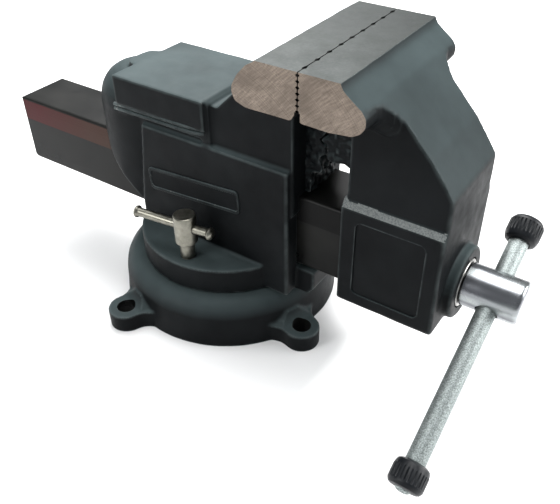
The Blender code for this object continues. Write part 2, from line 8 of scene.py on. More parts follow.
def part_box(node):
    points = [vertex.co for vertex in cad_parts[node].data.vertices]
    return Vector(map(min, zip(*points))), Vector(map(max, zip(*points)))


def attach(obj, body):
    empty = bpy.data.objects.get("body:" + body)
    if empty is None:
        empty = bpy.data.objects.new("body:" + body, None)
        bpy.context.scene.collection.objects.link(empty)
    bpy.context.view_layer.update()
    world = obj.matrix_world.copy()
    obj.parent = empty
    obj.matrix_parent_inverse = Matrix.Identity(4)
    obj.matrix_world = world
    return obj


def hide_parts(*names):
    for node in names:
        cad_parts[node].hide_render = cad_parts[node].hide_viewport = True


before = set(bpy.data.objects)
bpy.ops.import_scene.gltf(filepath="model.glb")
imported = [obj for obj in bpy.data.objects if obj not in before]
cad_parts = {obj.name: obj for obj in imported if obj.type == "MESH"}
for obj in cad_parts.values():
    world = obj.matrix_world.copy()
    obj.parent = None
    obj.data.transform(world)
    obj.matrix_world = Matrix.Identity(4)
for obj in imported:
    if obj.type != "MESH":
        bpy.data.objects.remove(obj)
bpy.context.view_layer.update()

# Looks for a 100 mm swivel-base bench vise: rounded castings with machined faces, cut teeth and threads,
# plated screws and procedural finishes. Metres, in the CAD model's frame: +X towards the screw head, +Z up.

# Places taken from the CAD frame
REAR_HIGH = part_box("rear_jaw_body")[1]
FRONT_LOW, FRONT_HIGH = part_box("front_jaw_body")
SCREW_LOW, SCREW_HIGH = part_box("main_screw")
JAW_HALF = FRONT_HIGH.y
JAW_TOP = REAR_HIGH.z
HALF_GAP = 0.00015
JAW_SEAM = REAR_HIGH.x + HALF_GAP
SCREW_Z = 0.0685
SCREW_END = SCREW_HIGH.x

# Fixed jaw casting
BODY_REAR, BODY_FRONT, BODY_HALF = -0.047, 0.0665, 0.0305
SHOULDER = 0.12
NECK_FRONT, NECK_HALF = 0.068, 0.027
ANVIL_REAR, ANVIL_FRONT, ANVIL_HALF = -0.0575, 0.0112, 0.032
ANVIL_TOP, ANVIL_BOTTOM, STEP_HALF = 0.1484, 0.1275, 0.0295
TAIL_LENGTH, TAIL_HALF, BEAD_RADIUS = 0.0345, 0.0295, 0.0011
TONGUE_REAR, TONGUE_HALF = -0.0658, 0.0125
FLANGE_RADIUS, FLANGE_BOTTOM, FLANGE_TOP = 0.058, 0.0315, 0.0492
FOOT_FRONT, FOOT_HALF = 0.079, 0.02
SPIGOT_RADIUS, SPIGOT_BOTTOM, PIVOT_HOLE, JAW_END_BOTTOM = 0.0527, 0.0235, 0.0053, 0.156

# Moving jaw casting and slide
UPPER_REAR, UPPER_HALF = 0.1024, 0.0285
SLEEVE_REAR, SLEEVE_HALF, SLEEVE_TOP, SLEEVE_BOTTOM = 0.1005, 0.031, 0.1135, 0.048
FRONT_FACE, KNEE = 0.1592, 0.1344
SMALL_ROUND, PLAQUE_DEPTH = 0.0035, 0.0009
BOSS_RADIUS, BOSS_LENGTH, BOSS_FRONT, BOSS_RECESS = 0.0214, 0.012, 0.1645, 0.015
SLIDE_REAR, SLIDE_HALF, SLIDE_TOP, SLIDE_BOTTOM = FRONT_LOW.x, 0.0195, 0.1007, 0.0512
RAIL_BOTTOM, RAIL_RELIEF = 0.0842, 0.001
SLOT_HALF, SLOT_TOP, FRONT_WALL = 0.0125, 0.088, 0.147
END_ROUND, LOW_END_ROUND = 0.0042, 0.007
PIPE_JAW_HALF, PIPE_TOOTH_PITCH = 0.014, 0.012

# Round base
BASE_YAW, BASE_STOCK = radians(-20.5), 0.003
EAR_CIRCLE, EAR_RADIUS, EAR_THICKNESS, EAR_HOLE = 0.0815, 0.0115, 0.012, 0.006
EAR_FILLET, FILLET_LAYERS, EAR_FLARE, FLARE_POWER = 0.008, 8, 0.014, 2.4
CROWN_CENTRE, CROWN_WIDTH, CROWN_FOOT, CROWN_RISE = 0.0605, 0.0108, 0.019, 0.012
BASE_RADIUS, BASE_TOP, LIP_RADIUS, LIP_UNDERSIDE, CAVITY_RADIUS = 0.073, 0.031, 0.053, 0.0195, 0.062

# Screw, handle and lock screws
SCREW_RADIUS, SCREW_PITCH, THREAD_DEPTH = 0.009, 0.005, 0.002
HEAD_RADIUS, HEAD_REAR, HEAD_ROUND, HEAD_CHAMFER = 0.0125, 0.1652, 0.0026, 0.0006
NECK_LENGTH, THREAD_BACK = 0.022, 0.021
HANDLE_X, HANDLE_TILT = 0.181, radians(29)
BAR_RADIUS, BAR_LOW_END, BAR_HIGH_END = 0.0055, -0.113, 0.046
CAP_LENGTH, CAP_RADIUS, CAP_OPENING, CAP_OVERHANG = 0.0145, 0.0096, 0.0045, 0.0014
CAP_RIBS, RIB_STEPS, RIB_DEPTH, RIB_WIDTH = 28, 8, 0.0007, 0.35
LOCK_X, LOCK_Y, LOCK_SHANK = 0.004, 0.0474, 0.00425
LOCK_HEAD_RADIUS, LOCK_HEAD_BOTTOM, LOCK_HEAD_TOP = 0.007, 0.06, 0.0804
LOCK_BAR_HEIGHT, LOCK_BAR_RADIUS, LOCK_BAR_HALF, LOCK_BAR_OFFSET = 0.0715, 0.0029, 0.0285, 0.0088
LOCK_BAR_ANGLE = radians(6.5)
FINE_PITCH, FINE_DEPTH = 0.00125, 0.0007
CLEARANCE, CLOSE_FIT = 0.0004, 0.0003

# Casting skin
VOXEL = 0.0009
SMOOTHING = 6

# Material slots of the jaw castings' machined surfaces and the sleeve's ledge
TOP_SLOT, END_SLOT, TOOTH_SLOT, LEDGE_SLOT = 1, 2, 3, 4

# Most of a noise texture's values lie between these two
NOISE_SPAN = (0.3, 0.7)

# The camera, fitted to the photograph's perspective: degrees, metres and millimetres
VIEW_AZIMUTH, VIEW_ELEVATION, VIEW_ROLL = 34.1, 38.01, -0.43
VIEW_PLACE, VIEW_LENS, VIEW_SENSOR = (0.2422, -0.2971, 0.3171), 44.52, 36


# ---- materials

class Finish:
    """One procedural material. Its nodes read object coordinates, which are metres in the row frame."""

    def __init__(self, name, roughness, metallic=0.0, **settings):
        self.material = bpy.data.materials.new(name)
        self.material.use_nodes = True
        self.tree = self.material.node_tree
        self.shader = self.tree.nodes["Principled BSDF"]
        self.shader.inputs["Roughness"].default_value = roughness
        self.shader.inputs["Metallic"].default_value = metallic
        for socket, value in settings.items():
            self.shader.inputs[socket.replace("_", " ")].default_value = value
        self.coordinates = self.add("ShaderNodeTexCoord").outputs["Object"]
        self.height = None

    def add(self, kind, inputs=None, **settings):
        """A node with its settings. Each input takes another node's output, or a plain value."""
        node = self.tree.nodes.new(kind)
        for key, value in settings.items():
            setattr(node, key, value)
        for key, value in (inputs or {}).items():
            if isinstance(value, bpy.types.NodeSocket):
                self.tree.links.new(value, node.inputs[key])
            else:
                node.inputs[key].default_value = value
        return node

    def stretched(self, scale, rotation=(0, 0, 0)):
        """Coordinates that are turned first and then scaled."""
        facing = self.add("ShaderNodeMapping", {"Vector": self.coordinates, "Rotation": rotation})
        inputs = {"Vector": facing.outputs["Vector"], "Scale": scale}
        return self.add("ShaderNodeMapping", inputs).outputs["Vector"]

    def noise(self, scale, detail=3.0, vector=None, rough=0.55):
        inputs = {"Vector": vector or self.coordinates, "Scale": scale, "Detail": detail, "Roughness": rough}
        return self.add("ShaderNodeTexNoise", inputs).outputs["Fac"]

    def ramp(self, value, low, high, dark=(0, 0, 0, 1), light=(1, 1, 1, 1)):
        node = self.add("ShaderNodeValToRGB", {"Fac": value})
        first, last = node.color_ramp.elements
        first.position, last.position = low, high
        first.color, last.color = dark, light
        return node.outputs["Color"]

    def math(self, operation, first, second=0.5):
        return self.add("ShaderNodeMath", {0: first, 1: second}, operation=operation).outputs["Value"]

    def mix(self, factor, first, second):
        """A mix of two colours. The node's colour sockets are reached by number."""
        inputs = {0: factor, 6: first, 7: second}
        return self.add("ShaderNodeMix", inputs, data_type="RGBA").outputs[2]

    def range(self, value, low, high, source=(0.0, 1.0)):
        inputs = {"Value": value, "To Min": low, "To Max": high}
        inputs["From Min"], inputs["From Max"] = source
        return self.add("ShaderNodeMapRange", inputs).outputs["Result"]

    def colour(self, socket):
        self.tree.links.new(socket, self.shader.inputs["Base Color"])

    def roughness(self, value, low, high):
        socket = self.range(value, low, high, NOISE_SPAN)
        self.tree.links.new(socket, self.shader.inputs["Roughness"])

    def bump(self, height, distance, strength=1.0):
        node = self.add("ShaderNodeBump", {"Height": height, "Distance": distance, "Strength": strength})
        if self.height:
            self.tree.links.new(self.height, node.inputs["Normal"])
        self.height = node.outputs["Normal"]
        self.tree.links.new(self.height, self.shader.inputs["Normal"])

    def edges(self, low, high):
        """0 on flat ground and in corners, 1 on outer edges."""
        pointiness = self.add("ShaderNodeNewGeometry").outputs["Pointiness"]
        return self.range(pointiness, 0.0, 1.0, (low, high))


def cast_paint(name="cast_paint", pale_wear_and_highlight=False):
    """Satin charcoal paint over a sand-cast skin: painted lighter where it faces up as painted top light,
    with a painted highlight and real chips with painted glints on outer edges. The pale kind is worn to a
    paler tone all over, which is partly a painted highlight."""
    finish = Finish(name, 0.46, Specular_IOR_Level=0.05)
    grain = finish.noise(1300, 2.0)
    swell = finish.noise(120, 3.0)
    broad = finish.noise(28, 3.0)
    tone = finish.ramp(broad, 0.35, 0.7, (0.004, 0.0047, 0.0053, 1), (0.0075, 0.0088, 0.0096, 1))
    # Real chips and painted glints: light grey specks on the sharpest outer edges, partly chipped paint and
    # partly painted light caught by the edges.
    chip_and_glint_specks = finish.ramp(finish.noise(700, 4.0, rough=0.7), 0.56, 0.64)
    worn = finish.math("MULTIPLY", finish.edges(0.545, 0.62), chip_and_glint_specks)
    # Painted top light: faces that point up turn a paler bluish grey, standing in for the light from above.
    facing = finish.add("ShaderNodeNewGeometry").outputs["Normal"]
    upward = finish.add("ShaderNodeSeparateXYZ", {"Vector": facing}).outputs["Z"]
    upward = finish.range(upward, 0.0, 1.0, (0.1, 1.0))
    painted_top_light = finish.math("MULTIPLY", upward, finish.range(broad, 0.7, 1.0, NOISE_SPAN))
    tone = finish.mix(painted_top_light, tone, (0.054, 0.071, 0.073, 1))
    # Painted highlight: a paler grey along outer edges, broken up by noise, standing in for light caught on
    # the rounded edges.
    broken_highlight = finish.range(swell, 0.25, 0.75, (0.35, 0.65))
    rim = finish.math("MULTIPLY", finish.edges(0.508, 0.575), broken_highlight)
    tone = finish.mix(rim, tone, (0.105, 0.125, 0.125, 1))
    # Partly worn paint and partly a painted highlight: the paint turns a paler grain-speckled grey.
    if pale_wear_and_highlight:
        tone = finish.mix(finish.range(grain, 0.45, 0.95, (0.35, 0.6)), tone, (0.2, 0.215, 0.21, 1))
    finish.colour(finish.mix(worn, tone, (0.3, 0.3, 0.28, 1)))
    finish.roughness(swell, 0.42, 0.54)
    finish.bump(swell, 0.0002, 0.4)
    finish.bump(grain, 0.00008, 0.7)
    return finish.material


def ground_steel(name, centre, tint, gloss, stain):
    """Ground metal: fine scratches on arcs round a centre, crossed by slanting rubs, and stained patches."""
    finish = Finish(name, gloss, 1.0)
    moved = finish.add("ShaderNodeVectorMath", {0: finish.coordinates, 1: centre}, operation="SUBTRACT")
    distance = finish.add("ShaderNodeVectorMath", {0: moved.outputs[0]}, operation="LENGTH").outputs["Value"]
    warp = finish.math("MULTIPLY", finish.noise(60, 2.0), 0.0012)
    radius = finish.math("ADD", distance, warp)
    spread = finish.add("ShaderNodeCombineXYZ", {"X": radius}).outputs["Vector"]
    scratches = finish.noise(2000, 4.0, spread, 0.7)
    rubs = finish.noise(1100, 3.0, finish.stretched((1, 1, 0.14), (0, radians(-48), 0)), 0.6)
    patches = finish.noise(60, 4.0, rough=0.65)
    low = (*(channel * 0.36 for channel in tint), 1)
    tone = finish.ramp(finish.mix(0.45, scratches, rubs), 0.36, 0.62, low, (*tint, 1))
    stained = finish.ramp(patches, 0.42, 0.64)
    dull = (*(channel * 0.42 for channel in tint), 1)
    finish.colour(finish.mix(finish.math("MULTIPLY", stained, stain), tone, dull))
    finish.roughness(patches, gloss - 0.07, gloss + 0.08)
    finish.bump(scratches, 0.00003, 0.35)
    return finish.material


def painted_reflection_band():
    """The milled upper side of the slide, painted with a reflection of a red object: wine red at its tail,
    tan near the body and black inside it.
    """
    finish = Finish("slide_band", 0.4, 0.0, Specular_IOR_Level=0.06)
    place = finish.add("ShaderNodeSeparateXYZ", {"Vector": finish.coordinates})
    lines = finish.noise(300, 4.0, finish.stretched((0.02, 1.0, 8.0)), 0.7)
    along = finish.math("ADD", place.outputs["X"], finish.math("MULTIPLY", finish.noise(40, 3.0), 0.03))
    # Painted reflection: the band runs from wine red to tan along the slide, a red object's reflection
    # painted into the milled face, and turns plain dark inside the castings.
    travel = finish.range(along, 0.0, 1.0, (-0.14, -0.07))
    tone = finish.mix(travel, (0.058, 0.0075, 0.009, 1), (0.052, 0.03, 0.021, 1))
    tone = finish.mix(finish.math("MULTIPLY", lines, 0.5), tone, (0.022, 0.01, 0.01, 1))
    inside = finish.range(along, 0.0, 1.0, (-0.03, 0.03))
    finish.colour(finish.mix(inside, tone, (0.006, 0.006, 0.006, 1)))
    finish.roughness(lines, 0.3, 0.46)
    finish.bump(lines, 0.00004, 0.5)
    return finish.material


def slide_top():
    """Dark oiled steel, for the rest of the slide and the bolt holes."""
    finish = Finish("slide_dark", 0.4, 0.0, Specular_IOR_Level=0.09)
    lines = finish.noise(500, 4.0, finish.stretched((0.03, 1.0, 1.0)), 0.7)
    patches = finish.noise(24, 4.0)
    finish.colour(finish.ramp(patches, 0.35, 0.7, (0.0045, 0.0048, 0.0048, 1), (0.013, 0.013, 0.012, 1)))
    finish.roughness(patches, 0.24, 0.42)
    finish.bump(lines, 0.00004, 0.5)
    return finish.material


def chrome():
    """Bright plating over a finely turned surface, with darker painted reflection bands along it."""
    finish = Finish("bright_chrome", 0.18, 1.0)
    rings = finish.noise(1800, 2.0, finish.stretched((1.0, 0.02, 0.02)), 0.5)
    patches = finish.noise(60, 3.0)
    # Painted reflection: darker bluish bands along the axis stand in for dark surroundings reflected in the
    # plating.
    painted_reflection_bars = finish.noise(130, 2.0, finish.stretched((0.06, 1.0, 1.0)), 0.5)
    plate = finish.ramp(patches, 0.3, 0.7, (0.3, 0.325, 0.33, 1), (0.41, 0.43, 0.43, 1))
    finish.colour(finish.mix(finish.ramp(painted_reflection_bars, 0.46, 0.6), plate, (0.18, 0.185, 0.2, 1)))
    finish.roughness(patches, 0.22, 0.31)
    finish.bump(rings, 0.000015, 0.4)
    return finish.material


def zinc():
    """Satin zinc plate with the fine mottle of tumbled bar."""
    finish = Finish("satin_zinc", 0.42, 1.0)
    mottle = finish.noise(1500, 4.0, rough=0.7)
    patches = finish.noise(120, 3.0)
    finish.colour(finish.ramp(mottle, 0.38, 0.62, (0.13, 0.15, 0.15, 1), (0.42, 0.46, 0.45, 1)))
    finish.roughness(mottle, 0.48, 0.62)
    finish.bump(mottle, 0.00004, 0.6)
    finish.bump(patches, 0.00004, 0.3)
    return finish.material


def nickel():
    """Warm bright plating on the small lock screws."""
    finish = Finish("nickel", 0.34, 1.0)
    patches = finish.noise(300, 3.0)
    finish.colour(finish.ramp(patches, 0.3, 0.7, (0.15, 0.145, 0.12, 1), (0.235, 0.228, 0.195, 1)))
    finish.roughness(patches, 0.3, 0.38)
    return finish.material


def plain_steel():
    """Oiled turned steel, a little stained."""
    finish = Finish("plain_steel", 0.36, 1.0)
    patches = finish.noise(150, 4.0)
    finish.colour(finish.ramp(patches, 0.32, 0.7, (0.16, 0.15, 0.14, 1), (0.4, 0.4, 0.39, 1)))
    finish.roughness(patches, 0.28, 0.46)
    finish.bump(finish.noise(1200, 3.0), 0.00003, 0.6)
    return finish.material


def black_plastic():
    """Satin moulded plastic."""
    finish = Finish("black_plastic", 0.4, 0.0, Specular_IOR_Level=0.22)
    patches = finish.noise(400, 3.0)
    finish.colour(finish.ramp(patches, 0.35, 0.7, (0.0035, 0.0045, 0.006, 1), (0.007, 0.0085, 0.0105, 1)))
    finish.roughness(patches, 0.36, 0.48)
    finish.bump(finish.noise(2200, 2.0), 0.00002, 0.4)
    return finish.material


PAINT = cast_paint()
LEDGE_WEAR_AND_HIGHLIGHT = cast_paint("rubbed_paint", True)
TOP_STEEL = ground_steel("ground_top", (0.9, -0.6, 0.19), (0.034, 0.039, 0.037), 0.42, 0.25)
END_STEEL = ground_steel("ground_end", (0.02, 0.0, 0.1), (0.2, 0.164, 0.136), 0.3, 0.6)
TOOTH_STEEL = ground_steel("jaw_teeth", (0.085, 0.0, 2.0), (0.04, 0.041, 0.04), 0.44, 0.6)
REFLECTION_BAND = painted_reflection_band()
SLIDE_DARK = slide_top()
CHROME = chrome()
ZINC = zinc()
NICKEL = nickel()
STEEL = plain_steel()
PLASTIC = black_plastic()
JAW_LOOKS = [PAINT, TOP_STEEL, END_STEEL, TOOTH_STEEL]


# ---- mesh tools

def link(obj):
    bpy.context.scene.collection.objects.link(obj)


def aimed(place, direction):
    """A placement whose +Z runs along the direction."""
    return Matrix.Translation(place) @ direction.to_track_quat("Z", "Y").to_matrix().to_4x4()


def loose_object(bm, name):
    mesh = bpy.data.meshes.new(name)
    bm.to_mesh(mesh)
    bm.free()
    return bpy.data.objects.new(name, mesh)


def box(low, high, rounding=0.0, name="box"):
    low, high = Vector(low), Vector(high)
    bm = bmesh.new()
    bmesh.ops.create_cube(bm, size=1)
    bmesh.ops.scale(bm, vec=high - low, verts=bm.verts)
    bmesh.ops.translate(bm, vec=(low + high) / 2, verts=bm.verts)
    if rounding:
        bmesh.ops.bevel(bm, geom=list(bm.edges), offset=rounding, segments=4, affect="EDGES", profile=0.5)
    return loose_object(bm, name)


def cylinder(radius, start, end, segments=48, name="cylinder"):
    start, end = Vector(start), Vector(end)
    run = end - start
    bm = bmesh.new()
    bmesh.ops.create_cone(
        bm, cap_ends=True, segments=segments, radius1=radius, radius2=radius, depth=run.length
    )
    bmesh.ops.transform(bm, matrix=aimed((start + end) / 2, run), verts=bm.verts)
    return loose_object(bm, name)


def rounded_outline(corners, steps=6):
    """Points round a closed outline. A corner is (u, v) or (u, v, radius), and a radius makes an arc."""
    points = []
    for index, corner in enumerate(corners):
        here = Vector(corner[:2])
        radius = corner[2] if len(corner) > 2 else 0
        if not radius:
            points.append(here)
            continue
        back = (Vector(corners[index - 1][:2]) - here).normalized()
        ahead = (Vector(corners[(index + 1) % len(corners)][:2]) - here).normalized()
        half = acos(max(-1, min(1, back.dot(ahead)))) / 2
        centre = here + (back + ahead).normalized() * (radius / sin(half))
        first = here + back * (radius / tan(half)) - centre
        last = here + ahead * (radius / tan(half)) - centre
        swing = first.angle_signed(last)
        for step in range(steps + 1):
            turned = first.copy()
            turned.rotate(Matrix.Rotation(-swing * step / steps, 2))
            points.append(centre + turned)
    return points


def prism(points, low, high, matrix=Matrix(), name="prism"):
    """A flat outline in XY given thickness from low to high along Z, then placed."""
    bm = bmesh.new()
    face = bm.faces.new([bm.verts.new((u, v, low)) for u, v in points])
    grown = bmesh.ops.extrude_face_region(bm, geom=[face])
    moved = [item for item in grown["geom"] if isinstance(item, bmesh.types.BMVert)]
    bmesh.ops.translate(bm, vec=(0, 0, high - low), verts=moved)
    bmesh.ops.recalc_face_normals(bm, faces=bm.faces)
    bmesh.ops.transform(bm, matrix=matrix, verts=bm.verts)
    if matrix.determinant() < 0:
        bmesh.ops.reverse_faces(bm, faces=bm.faces)
    return loose_object(bm, name)


STAND_UP = Matrix(((1, 0, 0, 0), (0, 0, 1, 0), (0, 1, 0, 0), (0, 0, 0, 1)))
ALONG_X = Matrix(((0, 0, 1, 0), (1, 0, 0, 0), (0, 1, 0, 0), (0, 0, 0, 1)))


def mirrored(corners):
    """The outline's other half, across the middle."""
    return [(-corner[0], *corner[1:]) for corner in reversed(corners)]


def rectangle(left, right, low, high, radius):
    return [(left, low, radius), (right, low, radius), (right, high, radius), (left, high, radius)]


def side_plate(corners, half_width, steps=6, name="side_plate"):
    """An outline in the XZ plane, extruded to both sides of it along Y."""
    return prism(rounded_outline(corners, steps), -half_width, half_width, STAND_UP, name)


def turned(profile, place=Matrix(), steps=96, closed=False, name="turned", depth=None):
    """A profile of (radius, height) turned round Z, then placed. An open one starts and ends on the axis.
    Points with a third value are cut in by depth(step), a function of the step round the axis."""
    bm = bmesh.new()
    rings = []
    for radius, height, *ribbed in profile:
        if radius < 1e-7:
            rings.append([bm.verts.new((0, 0, height))])
            continue
        ring = []
        for step in range(steps):
            angle = tau * step / steps
            reach = radius - (depth(step) if ribbed else 0)
            ring.append(bm.verts.new((reach * cos(angle), reach * sin(angle), height)))
        rings.append(ring)
    pairs = list(zip(rings, rings[1:])) + ([(rings[-1], rings[0])] if closed else [])
    for first, second in pairs:
        for step in range(steps):
            after = (step + 1) % steps
            corners = [first[step % len(first)], first[after % len(first)]]
            corners += [second[after % len(second)], second[step % len(second)]]
            corners = list(dict.fromkeys(corners))
            if len(corners) > 2:
                bm.faces.new(corners)
    bmesh.ops.recalc_face_normals(bm, faces=bm.faces)
    bmesh.ops.transform(bm, matrix=place, verts=bm.verts)
    return loose_object(bm, name)


def along_x(x):
    """A placement on the screw's axis that lays a turned piece's +Z along +X."""
    return Matrix.Translation((x, 0, SCREW_Z)) @ Matrix.Rotation(radians(90), 4, "Y")


def flared_bore(radius, straight, end, flare, place, steps):
    """A cutter for a cross hole: straight so far to both sides of its middle, then opening out."""
    half = [(0, end), (radius + flare, end), (radius, straight)]
    return turned(half + [(reach, -height) for reach, height in reversed(half)], place, steps)


def wire(name, kind, radius, count):
    """A round wire on a curve of so many points: its loose object, and the points to be placed."""
    curve = bpy.data.curves.new(name, "CURVE")
    curve.dimensions = "3D"
    curve.bevel_depth = radius
    curve.bevel_resolution = 4
    curve.use_fill_caps = True
    spline = curve.splines.new(kind)
    points = spline.bezier_points if kind == "BEZIER" else spline.points
    points.add(count - 1)
    return bpy.data.objects.new(name, curve), points


def joined(objects, name):
    """One loose object that holds all their meshes."""
    bm = bmesh.new()
    for obj in objects:
        bm.from_mesh(obj.data)
    return loose_object(bm, name)


def evaluated(obj):
    """The object's mesh with its modifiers applied, as a new loose object."""
    link(obj)
    bpy.context.view_layer.update()
    graph = bpy.context.evaluated_depsgraph_get()
    mesh = bpy.data.meshes.new_from_object(obj.evaluated_get(graph))
    name = obj.name
    bpy.data.objects.remove(obj)
    return bpy.data.objects.new(name, mesh)


def skinned(name, solids, voxel=VOXEL, smoothing=SMOOTHING, ripple=0.00018, fineness=90):
    """Fuses solids into one casting: every outer edge rounds over and every inner corner gets a fillet."""
    obj = joined(solids, name)
    remesh = obj.modifiers.new("skin", "REMESH")
    remesh.mode = "VOXEL"
    remesh.voxel_size = voxel
    smooth = obj.modifiers.new("round", "SMOOTH")
    smooth.factor = 0.5
    smooth.iterations = smoothing
    obj = evaluated(obj)
    outward = [vertex.normal.copy() for vertex in obj.data.vertices]
    for vertex, normal in zip(obj.data.vertices, outward):
        vertex.co += normal * ripple * (noise.noise(vertex.co * fineness) - 0.25)
    return obj


def cut(obj, cutters):
    """Takes the cutters' shapes out of obj."""
    cutter = joined(cutters, "cutter")
    link(cutter)
    boolean = obj.modifiers.new("cut", "BOOLEAN")
    boolean.operation = "DIFFERENCE"
    boolean.solver = "EXACT"
    boolean.object = cutter
    obj = evaluated(obj)
    bpy.data.objects.remove(cutter)
    return obj


def fill_boundary(bm, normal):
    """Closes the mesh's open rims with flat faces."""
    rim = [edge for edge in bm.edges if edge.is_boundary]
    return bmesh.ops.triangle_fill(bm, edges=rim, use_beauty=True, use_dissolve=False, normal=normal)


def face_off(obj, point, normal, slot):
    """Machines obj flat: what lies beyond the plane goes, and the new face takes that material slot."""
    bm = bmesh.new()
    bm.from_mesh(obj.data)
    everything = list(bm.verts) + list(bm.edges) + list(bm.faces)
    bmesh.ops.bisect_plane(bm, geom=everything, plane_co=point, plane_no=normal, clear_outer=True)
    made = fill_boundary(bm, normal)
    for item in made["geom"]:
        if isinstance(item, bmesh.types.BMFace):
            item.material_index = slot
    bm.to_mesh(obj.data)
    bm.free()
    return obj


def present(obj, body, materials, replaces=(), angle=32, name=None):
    """Shows a finished piece: named, shaded, on its CAD body and standing for its CAD nodes. Clearing the
    materials would reset the faces' slots, so they are kept and put back."""
    obj.name = name or obj.name
    obj.data.name = obj.name
    slots = [face.material_index for face in obj.data.polygons]
    obj.data.materials.clear()
    for material in materials:
        obj.data.materials.append(material)
    obj.data.polygons.foreach_set("material_index", slots)
    obj.data.shade_smooth()
    obj.data.set_sharp_from_angle(angle=radians(angle))
    link(obj)
    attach(obj, body)
    if replaces:
        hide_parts(*replaces)
    return obj


# ---- jaw castings, slide and teeth

# Outlines of the two jaw heads: how far each corner lies from the seam, and how far below the jaws' top
LEAF = {
    -1: [
        (0.0232, 0), (0.0292, 0.0034), (0.0345, 0.0094), (0.0379, 0.0155), (0.0381, 0.0192),
        (0.0362, 0.0232), (0.03, 0.0252), (0.0034, 0.025), (0.0026, 0.0228), (0.0008, 0.0205),
    ],
    1: [
        (0.0222, 0), (0.0238, 0.003), (0.029, 0.007), (0.0335, 0.0102), (0.0358, 0.0136),
        (0.0358, 0.0177), (0.0336, 0.0212), (0.0292, 0.0239), (0.018, 0.0252), (0.0014, 0.025),
        (0.001, 0.0205),
    ],
}
# The moving jaw's sloping back in the same measures. For each layer of the fillet under its lugs: half its
# width, and how far from the seam it reaches
SLOPE = [(0.0262, 0.0048), (0.0345, 0.0106), (0.051, 0.0272), (0.0604, 0.037), (0.0685, 0.0476)]
LUG_STEPS = [
    (0.03, 0.0436), (0.0315, 0.041), (0.033, 0.0395), (0.035, 0.0378),
    (0.0375, 0.0364), (0.04, 0.0356), (0.043, 0.0351), (0.0465, 0.0352),
]
HEAD_HEIGHT, SPARE = 0.02, 0.004
TOOTH_DEPTH, TOOTH_BACK, TOOTH_GAP, RAGGED = 0.0009, 0.0016, 0.0003, 0.00012
TOOTH_RISE, TOOTH_RUN, GROOVE_SHARE = 0.003, 0.011, 0.4


def jaw_leaf(side, spare):
    """A jaw head's outline with spare stock on its faces. Side is -1 for the fixed jaw, 1 for the moving."""
    face = JAW_SEAM - side * spare
    leaf = LEAF[side]
    corners = [(face, JAW_TOP + spare), (JAW_SEAM + side * leaf[0][0], JAW_TOP + spare)]
    corners += [(JAW_SEAM + side * reach, JAW_TOP - drop) for reach, drop in leaf]
    corners.append((face, JAW_TOP - HEAD_HEIGHT))
    if side > 0:
        corners.reverse()
    return corners


def tail():
    """The oval post under the anvil's rear, with a low domed top, cut off on a slant below."""
    dome = [
        (0, 0.145), (0.011, 0.1447), (0.0175, 0.1435), (0.0225, 0.1415),
        (0.027, 0.1385), (0.0305, 0.1345), (0.033, 0.13), (TAIL_LENGTH, 0.124),
    ]
    profile = dome + [(TAIL_LENGTH, 0.052), (0, 0.052)]
    squeeze = Matrix.Diagonal((1, TAIL_HALF / TAIL_LENGTH, 1, 1))
    post = turned(profile, Matrix.Translation((ANVIL_REAR, 0, 0)) @ squeeze)
    slant = [(-0.12, 0.101), (-0.092, 0.101), (-0.0478, 0.06), (-0.0478, 0.04), (-0.12, 0.04)]
    return cut(post, [side_plate(slant, 0.06)])


def tongue():
    """The round end of the anvil's top, running a little way onto the tail."""
    round_end = [(TONGUE_REAR, side * TONGUE_HALF, 0.008) for side in (-1, 1)]
    corners = [*round_end, (-0.05, TONGUE_HALF), (-0.05, -TONGUE_HALF)]
    return prism(rounded_outline(corners), 0.125, ANVIL_TOP - 0.0002)


def block(rear, front, half, low, high):
    """A box that is the same to both sides of the middle."""
    return box((rear, -half, low), (front, half, high))


def anvil():
    """The anvil's block with an undercut below it, and the lower step beside the neck."""
    undercut, step = 0.002, 0.0022
    return [
        block(ANVIL_REAR, ANVIL_FRONT, ANVIL_HALF, ANVIL_BOTTOM + undercut, ANVIL_TOP),
        block(ANVIL_REAR, ANVIL_FRONT, ANVIL_HALF - undercut, ANVIL_BOTTOM - 0.004, ANVIL_TOP),
        block(ANVIL_FRONT - 0.004, ANVIL_FRONT + step, STEP_HALF, SHOULDER, ANVIL_TOP - 0.0015),
    ]


def fixed_body():
    """The lower box, the neck up to the jaw, and the foot in front of the flange."""
    floor, under_anvil = FLANGE_BOTTOM + 0.001, ANVIL_TOP - 0.003
    lower = [(BODY_REAR, floor), (BODY_FRONT, floor)]
    lower += [(BODY_FRONT, SHOULDER), (-0.04, SHOULDER), (BODY_REAR, 0.064)]
    neck = [(-0.056, 0.09), (NECK_FRONT, 0.09), (NECK_FRONT, 0.17)]
    neck += [(0.066, 0.184), (0.056, 0.1835), (0.018, under_anvil), (-0.056, under_anvil)]
    foot = [(0.055, FLANGE_BOTTOM), (FOOT_FRONT - 0.004, FLANGE_BOTTOM)]
    foot += [(FOOT_FRONT, FLANGE_BOTTOM + 0.005), (FOOT_FRONT, FLANGE_TOP), (0.055, FLANGE_TOP)]
    return side_plate(lower, BODY_HALF), side_plate(neck, NECK_HALF), side_plate(foot, FOOT_HALF)


def fixed_holes():
    """Cutters for the slide's tunnel, the pivot, the two lock screws and the stock beyond the jaw's ends."""
    holes = [block(-0.13, 0.12, SLIDE_HALF + CLEARANCE, SLIDE_BOTTOM - CLEARANCE, SLIDE_TOP + CLEARANCE)]
    holes.append(cylinder(PIVOT_HOLE, (0, 0, 0.01), (0, 0, 0.044), 32))
    for side in (-1, 1):
        ends = (LOCK_X, side * LOCK_Y, 0.01), (LOCK_X, side * LOCK_Y, 0.056)
        holes.append(cylinder(LOCK_SHANK + CLEARANCE, *ends, 32))
    for side in (-1, 1):
        low, high = sorted((side * JAW_HALF, side * (JAW_HALF + 0.02)))
        holes.append(box((0.03, low, JAW_END_BOTTOM), (JAW_SEAM + 0.01, high, JAW_TOP + 0.01)))
    return holes


